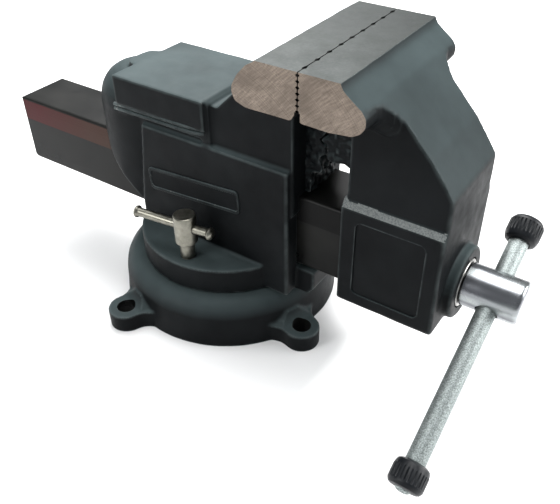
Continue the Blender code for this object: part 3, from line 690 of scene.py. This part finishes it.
def fixed_casting():
    """The rear casting: body, anvil with its tail, fixed jaw, round flange and spigot."""
    lower, neck, foot = fixed_body()
    solids = [
        lower,
        neck,
        *anvil(),
        tail(),
        tongue(),
        side_plate(jaw_leaf(-1, SPARE), JAW_HALF + SPARE),
        cylinder(FLANGE_RADIUS, (0, 0, FLANGE_BOTTOM), (0, 0, FLANGE_TOP), 128),
        cylinder(SPIGOT_RADIUS, (0, 0, SPIGOT_BOTTOM), (0, 0, FLANGE_BOTTOM + 0.004), 128),
        foot,
    ]
    body = cut(skinned("fixed_casting", solids), fixed_holes())
    face_off(body, (0, 0, JAW_TOP), (0, 0, 1), TOP_SLOT)
    for face in body.data.polygons:
        at_end = abs(abs(face.center.y) - JAW_HALF) < 1e-5 and face.center.z > JAW_END_BOTTOM
        if at_end and abs(face.normal.y) > 0.99:
            face.material_index = END_SLOT
    face_off(body, (JAW_SEAM - TOOTH_BACK, 0, 0), (1, 0, 0), TOOTH_SLOT)
    present(body, "fixed_jaw", JAW_LOOKS, ["rear_jaw_body"])


def slope_drop(reach):
    """How far the sloping back of the moving jaw lies below the jaws' top, so far from the seam."""
    for (near, high), (far, low) in zip(SLOPE, SLOPE[1:]):
        if reach <= far:
            return high + (low - high) * (reach - near) / (far - near)
    return SLOPE[-1][1]


def lug_fillets():
    """Thin layers that carry the wide jaw head into the narrower slope behind it on a hollow curve."""
    layers = []
    start, underside = JAW_SEAM + 0.01, JAW_TOP - 0.025
    for half, reach in LUG_STEPS:
        edge, end = JAW_TOP - slope_drop(reach), JAW_SEAM + reach
        corners = [
            (JAW_SEAM + SLOPE[0][0], JAW_TOP - SLOPE[0][1]), (start, JAW_TOP - 0.003),
            (start, underside), (end - 0.006, underside - (reach - 0.035) * 0.6, 0.005),
            (end, edge - 0.007, 0.0035), (end, edge),
        ]
        layers.append(side_plate(corners, half))
    return layers


def sleeve():
    """The box round the screw, with a sloping ledge where the narrower body stands on it."""
    half = [
        (SLEEVE_HALF, SLEEVE_BOTTOM, SMALL_ROUND), (SLEEVE_HALF, SLEEVE_TOP - 0.0012),
        (UPPER_HALF - 0.0005, SLEEVE_TOP + 0.0042),
    ]
    return prism(rounded_outline(half + mirrored(half)), SLEEVE_REAR, FRONT_FACE, ALONG_X)


def plaque_pocket(side):
    """Stock for the shallow blank pocket in the sleeve's side."""
    outline = rounded_outline(rectangle(0.11, 0.15, 0.0573, 0.106, SMALL_ROUND))
    low, high = sorted((side * (SLEEVE_HALF - PLAQUE_DEPTH), side * (SLEEVE_HALF + 0.004)))
    return prism(outline, low, high, STAND_UP)


def moving_casting():
    """The front casting: jaw, sloping back, sleeve and collar boss."""
    upper = [
        (UPPER_REAR, 0.1), (FRONT_FACE, 0.1), (FRONT_FACE, KNEE, 0.004),
        *[(JAW_SEAM + reach, JAW_TOP - drop) for reach, drop in reversed(SLOPE)],
        (JAW_SEAM + 0.0235, JAW_TOP - 0.005), (UPPER_REAR, 0.174),
    ]
    boss = [(0, BOSS_LENGTH), (BOSS_RADIUS, BOSS_LENGTH), (BOSS_RADIUS, 0), (0, 0)]
    solids = [
        side_plate(upper, UPPER_HALF),
        sleeve(),
        side_plate(jaw_leaf(1, SPARE), JAW_HALF + SPARE),
        turned(boss, along_x(BOSS_FRONT - BOSS_LENGTH)),
        *lug_fillets(),
    ]
    body = skinned("moving_casting", solids, smoothing=9)
    hollow = block(0.09, FRONT_WALL, SLIDE_HALF - 0.004, SLIDE_BOTTOM - 0.01, SLIDE_TOP - 0.01)
    beyond = (0.17, 0, SCREW_Z)
    body = cut(body, [hollow])
    body = cut(body, [cylinder(SCREW_RADIUS + 0.0005, (0.14, 0, SCREW_Z), beyond, 48)])
    body = cut(body, [cylinder(BOSS_RECESS, (BOSS_FRONT - 0.003, 0, SCREW_Z), beyond, 64)])
    body = cut(body, [plaque_pocket(-1), plaque_pocket(1)])
    face_off(body, (0, 0, JAW_TOP), (0, 0, 1), TOP_SLOT)
    face_off(body, (0, JAW_HALF, 0), (0, 1, 0), END_SLOT)
    face_off(body, (0, -JAW_HALF, 0), (0, -1, 0), END_SLOT)
    face_off(body, (JAW_SEAM + TOOTH_BACK, 0, 0), (-1, 0, 0), TOOTH_SLOT)
    # The sleeve's ledge takes the paler paint: partly worn paint, partly painted highlight.
    for face in body.data.polygons:
        slanted = abs(face.normal.y) > 0.35 and face.normal.z > 0.35
        if slanted and abs(face.center.z - SLEEVE_TOP - 0.001) < 0.004:
            face.material_index = LEDGE_SLOT
    present(body, "moving_jaw", [*JAW_LOOKS, LEDGE_WEAR_AND_HIGHLIGHT], ["front_jaw_body"])


def corner_relief(edge, outward, radius, steps=8):
    """What a round corner leaves off at the slide's rear end, beside the edge at this height or width."""
    margin = 0.003
    outside, behind = edge + outward * margin, SLIDE_REAR - margin
    points = [(behind, outside), (behind, edge - outward * radius)]
    for step in range(steps + 1):
        angle = radians(step * 90 / steps)
        across = edge - outward * radius * (1 - sin(angle))
        points.append((SLIDE_REAR + radius * (1 - cos(angle)), across))
    points.append((SLIDE_REAR + radius, outside))
    return points


def slide():
    """The slide: a channel, open below, its upper sides milled proud of the rest. The rear end's corners are
    cut one at a time, because cutters that overlap in one boolean take everything away."""
    lower = SLIDE_HALF - RAIL_RELIEF
    half = [
        (SLIDE_HALF, SLIDE_TOP, 0.0022), (SLIDE_HALF, RAIL_BOTTOM), (lower, RAIL_BOTTOM),
        (lower, SLIDE_BOTTOM, 0.0015), (SLOT_HALF, SLIDE_BOTTOM, 0.001), (SLOT_HALF, SLOT_TOP, 0.003),
    ]
    outline = rounded_outline(half + mirrored(half))
    channel = prism(outline, SLIDE_REAR, SLEEVE_REAR + 0.012, ALONG_X, "slide")
    reliefs = [
        side_plate(corner_relief(SLIDE_TOP, 1, END_ROUND), 0.03),
        side_plate(corner_relief(SLIDE_BOTTOM, -1, LOW_END_ROUND), 0.03),
        prism(corner_relief(SLIDE_HALF, 1, END_ROUND), 0.04, 0.11),
        prism(corner_relief(-SLIDE_HALF, -1, END_ROUND), 0.04, 0.11),
    ]
    for relief in reliefs:
        channel = cut(channel, [relief])
    for face in channel.data.polygons:
        if abs(face.normal.y) > 0.9 and abs(face.center.y) > SLIDE_HALF - 1e-4:
            face.material_index = 1
    present(channel, "moving_jaw", [SLIDE_DARK, REFLECTION_BAND])


def tooth_depth(y, z):
    """Depth of the diamond-cut grooves in a jaw face, from 0 on the lands to 1 at a groove's bottom."""
    depth = 0.0
    for lean in (-1, 1):
        phase = (JAW_TOP - z) / TOOTH_RISE + lean * y / TOOTH_RUN
        away = abs(phase - round(phase)) * 2
        depth = max(depth, 1 - away / GROOVE_SHARE)
    return depth


def toothed_face(name, side, body):
    """The cut face of a jaw, flush with the casting's ground top and ends."""
    rows, columns = 72, 250
    low = JAW_TOP - HEAD_HEIGHT
    bm = bmesh.new()
    front = []
    for row in range(rows + 1):
        z = low + (JAW_TOP - low) * row / rows
        line = []
        for column in range(columns + 1):
            y = -JAW_HALF + 2 * JAW_HALF * column / columns
            ragged = RAGGED * noise.noise((y * 700, z * 700, side * 5.0))
            depth = TOOTH_DEPTH * tooth_depth(y, z) + max(0.0, ragged) + TOOTH_GAP
            line.append(bm.verts.new((JAW_SEAM + side * depth, y, z)))
        front.append(line)
    for below, above in zip(front, front[1:]):
        for column in range(columns):
            bm.faces.new((below[column], below[column + 1], above[column + 1], above[column]))
    left, right = [line[0] for line in front], [line[-1] for line in front]
    rims = [(front[-1], TOP_SLOT), (front[0], 3), (left, END_SLOT), (right, END_SLOT)]
    back = {}
    for rim, slot in rims:
        for vert in rim:
            if vert not in back:
                back[vert] = bm.verts.new((JAW_SEAM + side * TOOTH_BACK, vert.co.y, vert.co.z))
        for first, second in zip(rim, rim[1:]):
            bm.faces.new((first, second, back[second], back[first])).material_index = slot
    fill_boundary(bm, (side, 0, 0))
    bmesh.ops.recalc_face_normals(bm, faces=bm.faces)
    face = loose_object(bm, name)
    present(face, body, [TOOTH_STEEL, TOP_STEEL, END_STEEL, PAINT], angle=25)


def rear_pipe_jaw():
    """Outline of the fixed teeth low in the throat, on a pad that reaches down to the slide."""
    back, valley, tip = NECK_FRONT - 0.002, 0.0768, 0.08
    pad, under, first = 0.072, SLIDE_TOP + 0.001, 0.1255
    corners = [(back, under), (pad, under), (pad, 0.115), (0.0775, 0.1165, 0.001)]
    corners += [(0.079, 0.1195, 0.0012), (valley, 0.124), (valley, first)]
    for tooth in range(3):
        foot = first + tooth * PIPE_TOOTH_PITCH
        corners += [(tip, foot + 0.0035, 0.0016), (tip, foot + 0.008, 0.0016), (valley, foot + 0.0112)]
        if tooth < 2:
            corners.append((valley, foot + PIPE_TOOTH_PITCH))
    corners.append((back, 0.162))
    return corners


def front_pipe_jaw():
    """Outline of the moving teeth, which drop between the fixed ones when the jaws are closed."""
    back, valley, tip = UPPER_REAR + 0.002, 0.0812, 0.078
    corners = [(back, 0.162), (valley, 0.161)]
    for tooth in (1, 0):
        middle = 0.1371 + tooth * PIPE_TOOTH_PITCH
        corners += [(valley, middle + 0.0037), (tip, middle + 0.0005)]
        corners += [(tip, middle - 0.0005), (valley, middle - 0.0037)]
    corners += [(valley, 0.1262), (back, 0.125)]
    return corners


def pipe_jaw(name, corners, body):
    """Pipe teeth across the throat, notched along their width and rippled into worn lumps."""
    bar = side_plate(corners, PIPE_JAW_HALF)
    notches = []
    for lane in (-0.009, 0, 0.009):
        for tooth in range(3):
            height = 0.131 + tooth * PIPE_TOOTH_PITCH
            ends = (0.079, lane, height - 0.006), (0.0815, lane, height + 0.006)
            notches.append(cylinder(0.0011, *ends, 12))
    skin = {"voxel": 0.0005, "smoothing": 4, "ripple": 0.0011, "fineness": 330}
    teeth = skinned(name + "_teeth", [cut(bar, notches)], **skin)
    present(teeth, body, [PAINT], [name])


def bead(name, height, side):
    """A thin cast line under the anvil's side, from the tail to a round end by the jaw."""
    places = [
        (ANVIL_REAR - 0.003, side * (ANVIL_HALF - 0.0022), height),
        (ANVIL_FRONT - 0.004, side * (ANVIL_HALF - 0.0016), height + 0.0022),
        (ANVIL_FRONT - 0.0006, side * (ANVIL_HALF - 0.0042), height + 0.0023),
    ]
    tube, points = wire(name, "BEZIER", BEAD_RADIUS, len(places))
    for point, place in zip(points, places):
        point.co = place
        point.handle_left_type = point.handle_right_type = "AUTO"
    present(evaluated(tube), "fixed_jaw", [PAINT], name=name)


def nameplate(name, side):
    """A plain panel on the body's side inside a raised rim."""
    corners = rectangle(-0.0375, 0.033, -0.0078, 0.0078, 0.003)
    rim = [(corner[0] * 0.965, corner[1] * 0.74, 0.002) for corner in corners]
    outer = rounded_outline(corners)
    tilt = Matrix.Translation((0, 0, 0.0866)) @ Matrix.Rotation(radians(-4.5), 4, "Y") @ STAND_UP
    inner, far = sorted((side * (BODY_HALF - 0.001), side * (BODY_HALF + 0.0009)))
    plate = prism(outer, inner, far, tilt, name)
    low, high = sorted((side * (BODY_HALF + 0.0004), side * (BODY_HALF + 0.003)))
    plate = cut(plate, [prism(rounded_outline(rim), low, high, tilt)])
    bevel = plate.modifiers.new("bevel", "BEVEL")
    bevel.width = 0.00035
    bevel.segments = 3
    present(evaluated(plate), "fixed_jaw", [PAINT], name=name)


# ---- round base

def ear_turn(index):
    return Matrix.Rotation(BASE_YAW + index * tau / 4, 4, "Z")


def ear(index, high, reach_end, spare):
    """One layer of a bolt ear, flaring into the ring. A fillet's layer is narrower and has no round end."""
    root = CAVITY_RADIUS + 0.003
    side = []
    for step in range(13):
        share = step / 12
        reach = root + (reach_end - root) * share
        side.append((reach, EAR_RADIUS - spare + (EAR_FLARE - spare) * (1 - share) ** FLARE_POWER))
    end = []
    if spare == 0:
        for step in range(1, 18):
            angle = radians(90 - step * 10)
            end.append((reach_end + EAR_RADIUS * cos(angle), EAR_RADIUS * sin(angle)))
    outline = side + end + [(reach, -half) for reach, half in reversed(side)]
    return prism(outline, -BASE_STOCK, high, ear_turn(index))


def ear_layers(index):
    """A bolt ear with a hollow fillet up the ring's wall, in thin layers that the skin smooths over."""
    layers = [ear(index, EAR_THICKNESS, EAR_CIRCLE, 0)]
    for step in range(1, FILLET_LAYERS):
        rise = EAR_FILLET * step / FILLET_LAYERS
        sweep = EAR_FILLET - sqrt(EAR_FILLET ** 2 - (EAR_FILLET - rise) ** 2)
        reach = BASE_RADIUS - 0.0005 + sweep * 0.9
        layers.append(ear(index, EAR_THICKNESS + rise, reach, 0.001 * step))
    return layers


def swivel_base():
    """The ring with its rolled crown and four bolt ears, ground flat below, with dark bolt holes."""
    ring = [(LIP_RADIUS, BASE_TOP)]
    for step in range(10):
        angle = radians(step * 9)
        reach = CROWN_CENTRE + CROWN_WIDTH * sin(angle)
        ring.append((reach, CROWN_FOOT + CROWN_RISE * cos(angle)))
    ring += [(BASE_RADIUS, -BASE_STOCK), (CAVITY_RADIUS, -BASE_STOCK)]
    ring += [(CAVITY_RADIUS, LIP_UNDERSIDE), (LIP_RADIUS, LIP_UNDERSIDE)]
    solids = [turned(ring, steps=144, closed=True)]
    holes = []
    for index in range(4):
        solids += ear_layers(index)
        ends = [ear_turn(index) @ Vector((EAR_CIRCLE, 0, height)) for height in (-0.01, 0.04)]
        holes.append(cylinder(EAR_HOLE, *ends, 48))
    base = skinned("base_casting", solids, smoothing=4)
    base = cut(base, holes)
    face_off(base, (0, 0, 0), (0, 0, -1), 1)
    for face in base.data.polygons:
        away = abs(hypot(face.center.x, face.center.y) - EAR_CIRCLE)
        if abs(face.normal.z) < 0.1 and away < EAR_HOLE and 0 < face.center.z < EAR_THICKNESS:
            across = (BASE_YAW - atan2(face.center.y, face.center.x)) % (tau / 4)
            if min(across, tau / 4 - across) * EAR_CIRCLE < EAR_HOLE + 0.0003:
                face.material_index = 2
    present(base, "base", [PAINT, STEEL, SLIDE_DARK], ["swivel_base"])


# ---- screw and handle

def thread(name, radius, pitch, depth, start, end, place, steps=40):
    """A right-hand V thread on a rod from start to end along +Z, with plain round ends, then placed."""
    crest, root = radius, radius - depth
    section = [(0.0, root), (0.12, root), (0.44, crest), (0.56, crest), (0.88, root)]
    turns = ceil((end - start) / pitch) + 1
    bm = bmesh.new()
    columns = []
    for step in range(steps + 1):
        angle = tau * step / steps
        column = []
        for turn in range(-1, turns):
            for rise, reach in section:
                height = start + (turn + rise + step / steps) * pitch
                held = min(max(height, start), end)
                reach = root if held != height else reach
                column.append(bm.verts.new((reach * cos(angle), reach * sin(angle), held)))
        columns.append(column)
    for first, second in zip(columns, columns[1:]):
        for row in range(len(first) - 1):
            bm.faces.new((first[row], second[row], second[row + 1], first[row + 1]))
    bmesh.ops.remove_doubles(bm, verts=bm.verts, dist=1e-7)
    bmesh.ops.holes_fill(bm, edges=[edge for edge in bm.edges if edge.is_boundary])
    bmesh.ops.recalc_face_normals(bm, faces=bm.faces)
    bmesh.ops.transform(bm, matrix=place, verts=bm.verts)
    return loose_object(bm, name)


def handle_frame(distance=0.0, outward=1):
    """A placement on the handle's axis, so far from the screw, whose +Z runs along it."""
    direction = Vector((0, cos(HANDLE_TILT), sin(HANDLE_TILT)))
    return aimed(Vector((HANDLE_X, 0, SCREW_Z)) + direction * distance, direction * outward)


def main_screw():
    """The plated head with its cross hole, and the threaded rod behind it."""
    length = SCREW_END - HEAD_REAR
    crown, shoulder = HEAD_RADIUS - HEAD_ROUND, length - HEAD_ROUND
    profile = [(0, length), (crown, length)]
    for step in range(1, 7):
        angle = radians(step * 15)
        profile.append((crown + HEAD_ROUND * sin(angle), shoulder + HEAD_ROUND * cos(angle)))
    profile += [(HEAD_RADIUS, HEAD_CHAMFER), (HEAD_RADIUS - HEAD_CHAMFER, 0)]
    profile += [(SCREW_RADIUS, 0), (SCREW_RADIUS, -NECK_LENGTH), (0, -NECK_LENGTH)]
    head = turned(profile, along_x(HEAD_REAR), name="screw_head")
    head = cut(head, [flared_bore(BAR_RADIUS + CLEARANCE, 0.0106, 0.03, 0.006, handle_frame(), 48)])
    present(head, "screw", [CHROME], ["main_screw"], angle=30)
    run = HEAD_REAR - THREAD_BACK - SCREW_LOW.x
    rod = thread("screw_thread", SCREW_RADIUS, SCREW_PITCH, THREAD_DEPTH, 0, run, along_x(SCREW_LOW.x))
    present(rod, "screw", [STEEL], angle=25)


def handle_bar():
    """The sliding bar, whose ends are headed over and show as low domes in the caps."""
    end = [(0, -0.0032), (0.0016, -0.0031), (0.003, -0.0027), (0.004, -0.002)]
    end += [(0.0044, -0.001), (0.0044, 0.0016), (BAR_RADIUS - 0.0006, 0.0016), (BAR_RADIUS, 0.0022)]
    length = BAR_HIGH_END - BAR_LOW_END
    profile = [(radius, length - depth) for radius, depth in end] + list(reversed(end))
    bar = turned(profile, handle_frame(BAR_LOW_END), 64, name="handle_rod")
    present(bar, "handle", [ZINC], ["handle_bar"])


def handle_cap(name, start, outward):
    """A moulded cap with grip ribs round its barrel and the bar's end showing in its opening."""
    wide, inner, top = CAP_RADIUS, BAR_RADIUS + CLOSE_FIT, CAP_LENGTH
    barrel = [
        (CAP_OPENING, top - 0.0004), (CAP_OPENING + 0.0006, top), (wide - 0.0026, top),
        (wide - 0.0012, top - 0.0006), (wide - 0.0004, top - 0.0018), (wide, top - 0.0026),
        (wide, top - 0.0034), (wide, top - 0.0038, "ribbed"), (wide, 0.0044, "ribbed"),
        (wide - 0.0002, 0.004), (wide - 0.0004, 0.0026), (wide - 0.001, 0.0012),
        (wide - 0.0024, 0.0003), (inner + 0.0006, 0), (inner, 0.0004),
        (inner, top - 0.003), (CAP_OPENING, top - 0.003),
    ]

    def groove(step):
        return RIB_DEPTH * max(0.0, cos(step / RIB_STEPS * tau) - RIB_WIDTH)

    place = handle_frame(start, outward)
    cap = turned(barrel, place, CAP_RIBS * RIB_STEPS, True, name + "_grip", groove)
    present(cap, "handle", [PLASTIC], [name], angle=28)


def washer_seat():
    """The turned ring in the collar boss's recess, round the screw."""
    bore, rim, thick = SCREW_RADIUS + CLOSE_FIT, BOSS_RECESS - 0.001, 0.003
    profile = [(bore, thick), (rim - 0.0004, thick), (rim, thick - 0.0004), (rim, 0), (bore, 0)]
    ring = turned(profile, along_x(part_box("thrust_washer")[0].x), closed=True, name="thrust_ring")
    present(ring, "moving_jaw", [STEEL], ["thrust_washer"])


def coil_spring():
    """The spring that holds the screw in the moving jaw, in its CAD node's place."""
    low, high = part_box("retaining_spring")
    thick, turns = 0.001, 5
    radius = (high.z - low.z) / 2 - thick
    count = turns * 48
    coil, points = wire("coil_spring", "POLY", thick, count + 1)
    for index, point in enumerate(points):
        share = index / count
        angle = tau * turns * share
        x = high.x - thick - (high.x - low.x - 2 * thick) * share
        point.co = (x, radius * cos(angle), SCREW_Z + radius * sin(angle), 1)
    present(evaluated(coil), "screw", [STEEL], ["retaining_spring"], name="coil_spring")


# ---- lock screws and hidden fixings

def lock_frame(side, distance=0.0):
    """A placement on a lock bar's axis, so far from its screw, whose +Z runs along it."""
    along = Vector((cos(LOCK_BAR_ANGLE), -side * sin(LOCK_BAR_ANGLE), 0))
    return aimed(Vector((LOCK_X, side * LOCK_Y, LOCK_BAR_HEIGHT)) + along * distance, along)


def lock_screw(where, side):
    """A swivel lock screw: a round head with a cross hole, and the thread below it."""
    place = Matrix.Translation((LOCK_X, side * LOCK_Y, 0))
    wide, top, under, thread_top = LOCK_HEAD_RADIUS, LOCK_HEAD_TOP, LOCK_HEAD_BOTTOM, 0.05
    profile = [(0, top - 0.0003), (wide - 0.0016, top - 0.0001), (wide - 0.0008, top - 0.0001)]
    profile += [(wide - 0.0002, top - 0.0005), (wide, top - 0.001), (wide, under + 0.0012)]
    profile += [(wide - 0.0012, under), (LOCK_SHANK + 0.0006, under - 0.0002)]
    profile += [(LOCK_SHANK + 0.0004, thread_top), (0, thread_top)]
    head = turned(profile, place, 64, name=f"lock_head_{where}")
    head = cut(head, [flared_bore(LOCK_BAR_RADIUS + CLOSE_FIT, 0.0062, 0.02, 0.003, lock_frame(side), 40)])
    present(head, f"{where}_lock", [NICKEL], [f"lock_screw_{where}"])
    run = 0.0132, thread_top + 0.0002
    rod = thread(f"lock_thread_{where}", LOCK_SHANK, FINE_PITCH, FINE_DEPTH, *run, place, 32)
    present(rod, f"{where}_lock", [NICKEL], angle=25)


def lock_bar(where, side):
    """A lock screw's sliding bar with a knob at both ends."""
    length = 2 * LOCK_BAR_HALF
    knob = [(0, 0), (0.0015, 0.0001), (0.0027, 0.0005), (0.0036, 0.0012), (0.004, 0.002)]
    knob += [(0.0039, 0.0026), (0.0034, 0.0032)]
    knob += [(LOCK_BAR_RADIUS + 0.0001, 0.0036), (LOCK_BAR_RADIUS, 0.004)]
    profile = [(radius, length - depth) for radius, depth in knob] + list(reversed(knob))
    place = lock_frame(side, -LOCK_BAR_HALF - LOCK_BAR_OFFSET)
    bar = turned(profile, place, 40, name=f"lock_rod_{where}")
    present(bar, f"{where}_lock_handle", [NICKEL], [f"lock_bar_{where}"])


def hex_bolt(name, node, x, head, low, high, shank, top):
    """A bolt standing head down, the head's corners turned off."""
    angles = [tau * corner / 6 for corner in range(6)]
    outline = [(head * cos(angle), head * sin(angle)) for angle in angles]
    place = Matrix.Translation((x, 0, 0))
    hexagon = prism(outline, low, high, place, name)
    flat = head * cos(radians(30))
    chamfer = [(flat, low - 0.001), (head * 1.3, low - 0.001), (head * 1.3, low + head - flat)]
    hexagon = cut(hexagon, [turned(chamfer, place, 64, closed=True)])
    present(hexagon, "fixed_jaw", [STEEL], [node], name=name)
    rod = thread(name + "_thread", shank, FINE_PITCH, FINE_DEPTH, high - 0.0005, top, place, 32)
    present(rod, "fixed_jaw", [STEEL], angle=25)


def dress(node, material):
    """Gives its finish to a CAD node that keeps its own shape."""
    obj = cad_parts[node]
    obj.data.materials.clear()
    obj.data.materials.append(material)


fixed_casting()
moving_casting()
slide()
toothed_face("fixed_teeth", -1, "fixed_jaw")
toothed_face("moving_teeth", 1, "moving_jaw")
pipe_jaw("rear_pipe_jaw", rear_pipe_jaw(), "fixed_jaw")
pipe_jaw("front_pipe_jaw", front_pipe_jaw(), "moving_jaw")
for side, where in ((-1, "near"), (1, "far")):
    bead(f"upper_bead_{where}", 0.1281, side)
    bead(f"lower_bead_{where}", 0.1253, side)
    nameplate(f"nameplate_{where}", side)
    lock_screw(where, side)
    lock_bar(where, side)
swivel_base()
main_screw()
washer_seat()
coil_spring()
handle_bar()
handle_cap("handle_cap_low", BAR_LOW_END + CAP_LENGTH - CAP_OVERHANG, -1)
handle_cap("handle_cap_high", BAR_HIGH_END - CAP_LENGTH + CAP_OVERHANG, 1)
NUT_BOLT = {"x": 0.037, "head": 0.007, "low": 0.027, "high": 0.0322, "shank": 0.004, "top": 0.056}
PIVOT_BOLT = {"x": 0.0, "head": 0.0092, "low": 0.0036, "high": 0.01, "shank": 0.005, "top": 0.043}
hex_bolt("nut_bolt_head", "nut_bolt", **NUT_BOLT)
hex_bolt("pivot_bolt_head", "pivot_bolt", **PIVOT_BOLT)
for node in ("main_nut", "swivel_clamp_plate", "pivot_washer", "spring_washer", "split_pin"):
    dress(node, STEEL)


# ---- stage, light and camera

def stage():
    """A pale bench that rolls over in front of the base, so that the handle has room to swing."""
    edge, drop, run, reach, gap = 0.098, 0.09, 0.068, 4.0, 0.0002
    profile = [(-reach, 0.0)]
    for step in range(33):
        share = step / 32
        profile.append((edge + run * share, -drop * share * share * (3 - 2 * share)))
    profile.append((reach, -drop))
    bm = bmesh.new()
    near, far = [[bm.verts.new((x, y, z - gap)) for x, z in profile] for y in (-reach, reach)]
    for index in range(len(profile) - 1):
        bm.faces.new((near[index], near[index + 1], far[index + 1], far[index]))
    floor = loose_object(bm, "pale_bench")
    finish = Finish("pale_bench", 0.75, Specular_IOR_Level=0.2)
    finish.colour(finish.ramp(finish.noise(6, 3.0), 0.3, 0.7, (0.8, 0.8, 0.8, 1), (0.84, 0.84, 0.84, 1)))
    floor.data.materials.append(finish.material)
    floor.data.shade_smooth()
    link(floor)


def area_light(name, place, target, size, power):
    light = bpy.data.lights.new(name, "AREA")
    light.shape = "DISK"
    light.size = size
    light.energy = power
    obj = bpy.data.objects.new(name, light)
    obj.location = place
    obj.rotation_euler = (Vector(target) - Vector(place)).to_track_quat("-Z", "Y").to_euler()
    link(obj)


def lighting():
    """A dim, slightly cool sky and four soft lights."""
    world = bpy.data.worlds.new("soft_studio")
    world.use_nodes = True
    sky = world.node_tree.nodes["Background"]
    sky.inputs["Color"].default_value = (0.93, 0.97, 1.0, 1)
    sky.inputs["Strength"].default_value = 0.42
    bpy.context.scene.world = world
    middle = (0.03, 0, 0.08)
    area_light("overhead", (0.05, 0.25, 1.3), middle, 1.2, 22)
    area_light("rear_softbox", (-0.62, 0.8, 1.25), middle, 1.1, 34)
    area_light("right_softbox", (1.3, 0.72, 0.62), middle, 1.0, 28)
    area_light("near_softbox", (-0.42, -0.9, 0.62), middle, 0.5, 6)
    bpy.context.scene.view_settings.view_transform = "Standard"


def camera():
    """A camera at the photograph's place and angle, a little rolled."""
    azimuth, elevation, roll = map(radians, (VIEW_AZIMUTH, VIEW_ELEVATION, VIEW_ROLL))
    flat = cos(elevation)
    look = Vector((-sin(azimuth) * flat, cos(azimuth) * flat, -sin(elevation)))
    level = Vector((cos(azimuth), sin(azimuth), 0))
    upright = level.cross(look)
    right = level * cos(roll) + upright * sin(roll)
    up = upright * cos(roll) - level * sin(roll)
    data = bpy.data.cameras.new("camera")
    data.sensor_width = VIEW_SENSOR
    data.lens = VIEW_LENS
    data.clip_start = 0.01
    obj = bpy.data.objects.new("camera", data)
    facing = Matrix((right, up, -look)).transposed().to_4x4()
    obj.matrix_world = Matrix.Translation(VIEW_PLACE) @ facing
    link(obj)
    bpy.context.scene.camera = obj


for leftover in ("Cube", "Light", "Camera"):
    if leftover in bpy.data.objects:
        bpy.data.objects.remove(bpy.data.objects[leftover])

stage()
lighting()
camera()
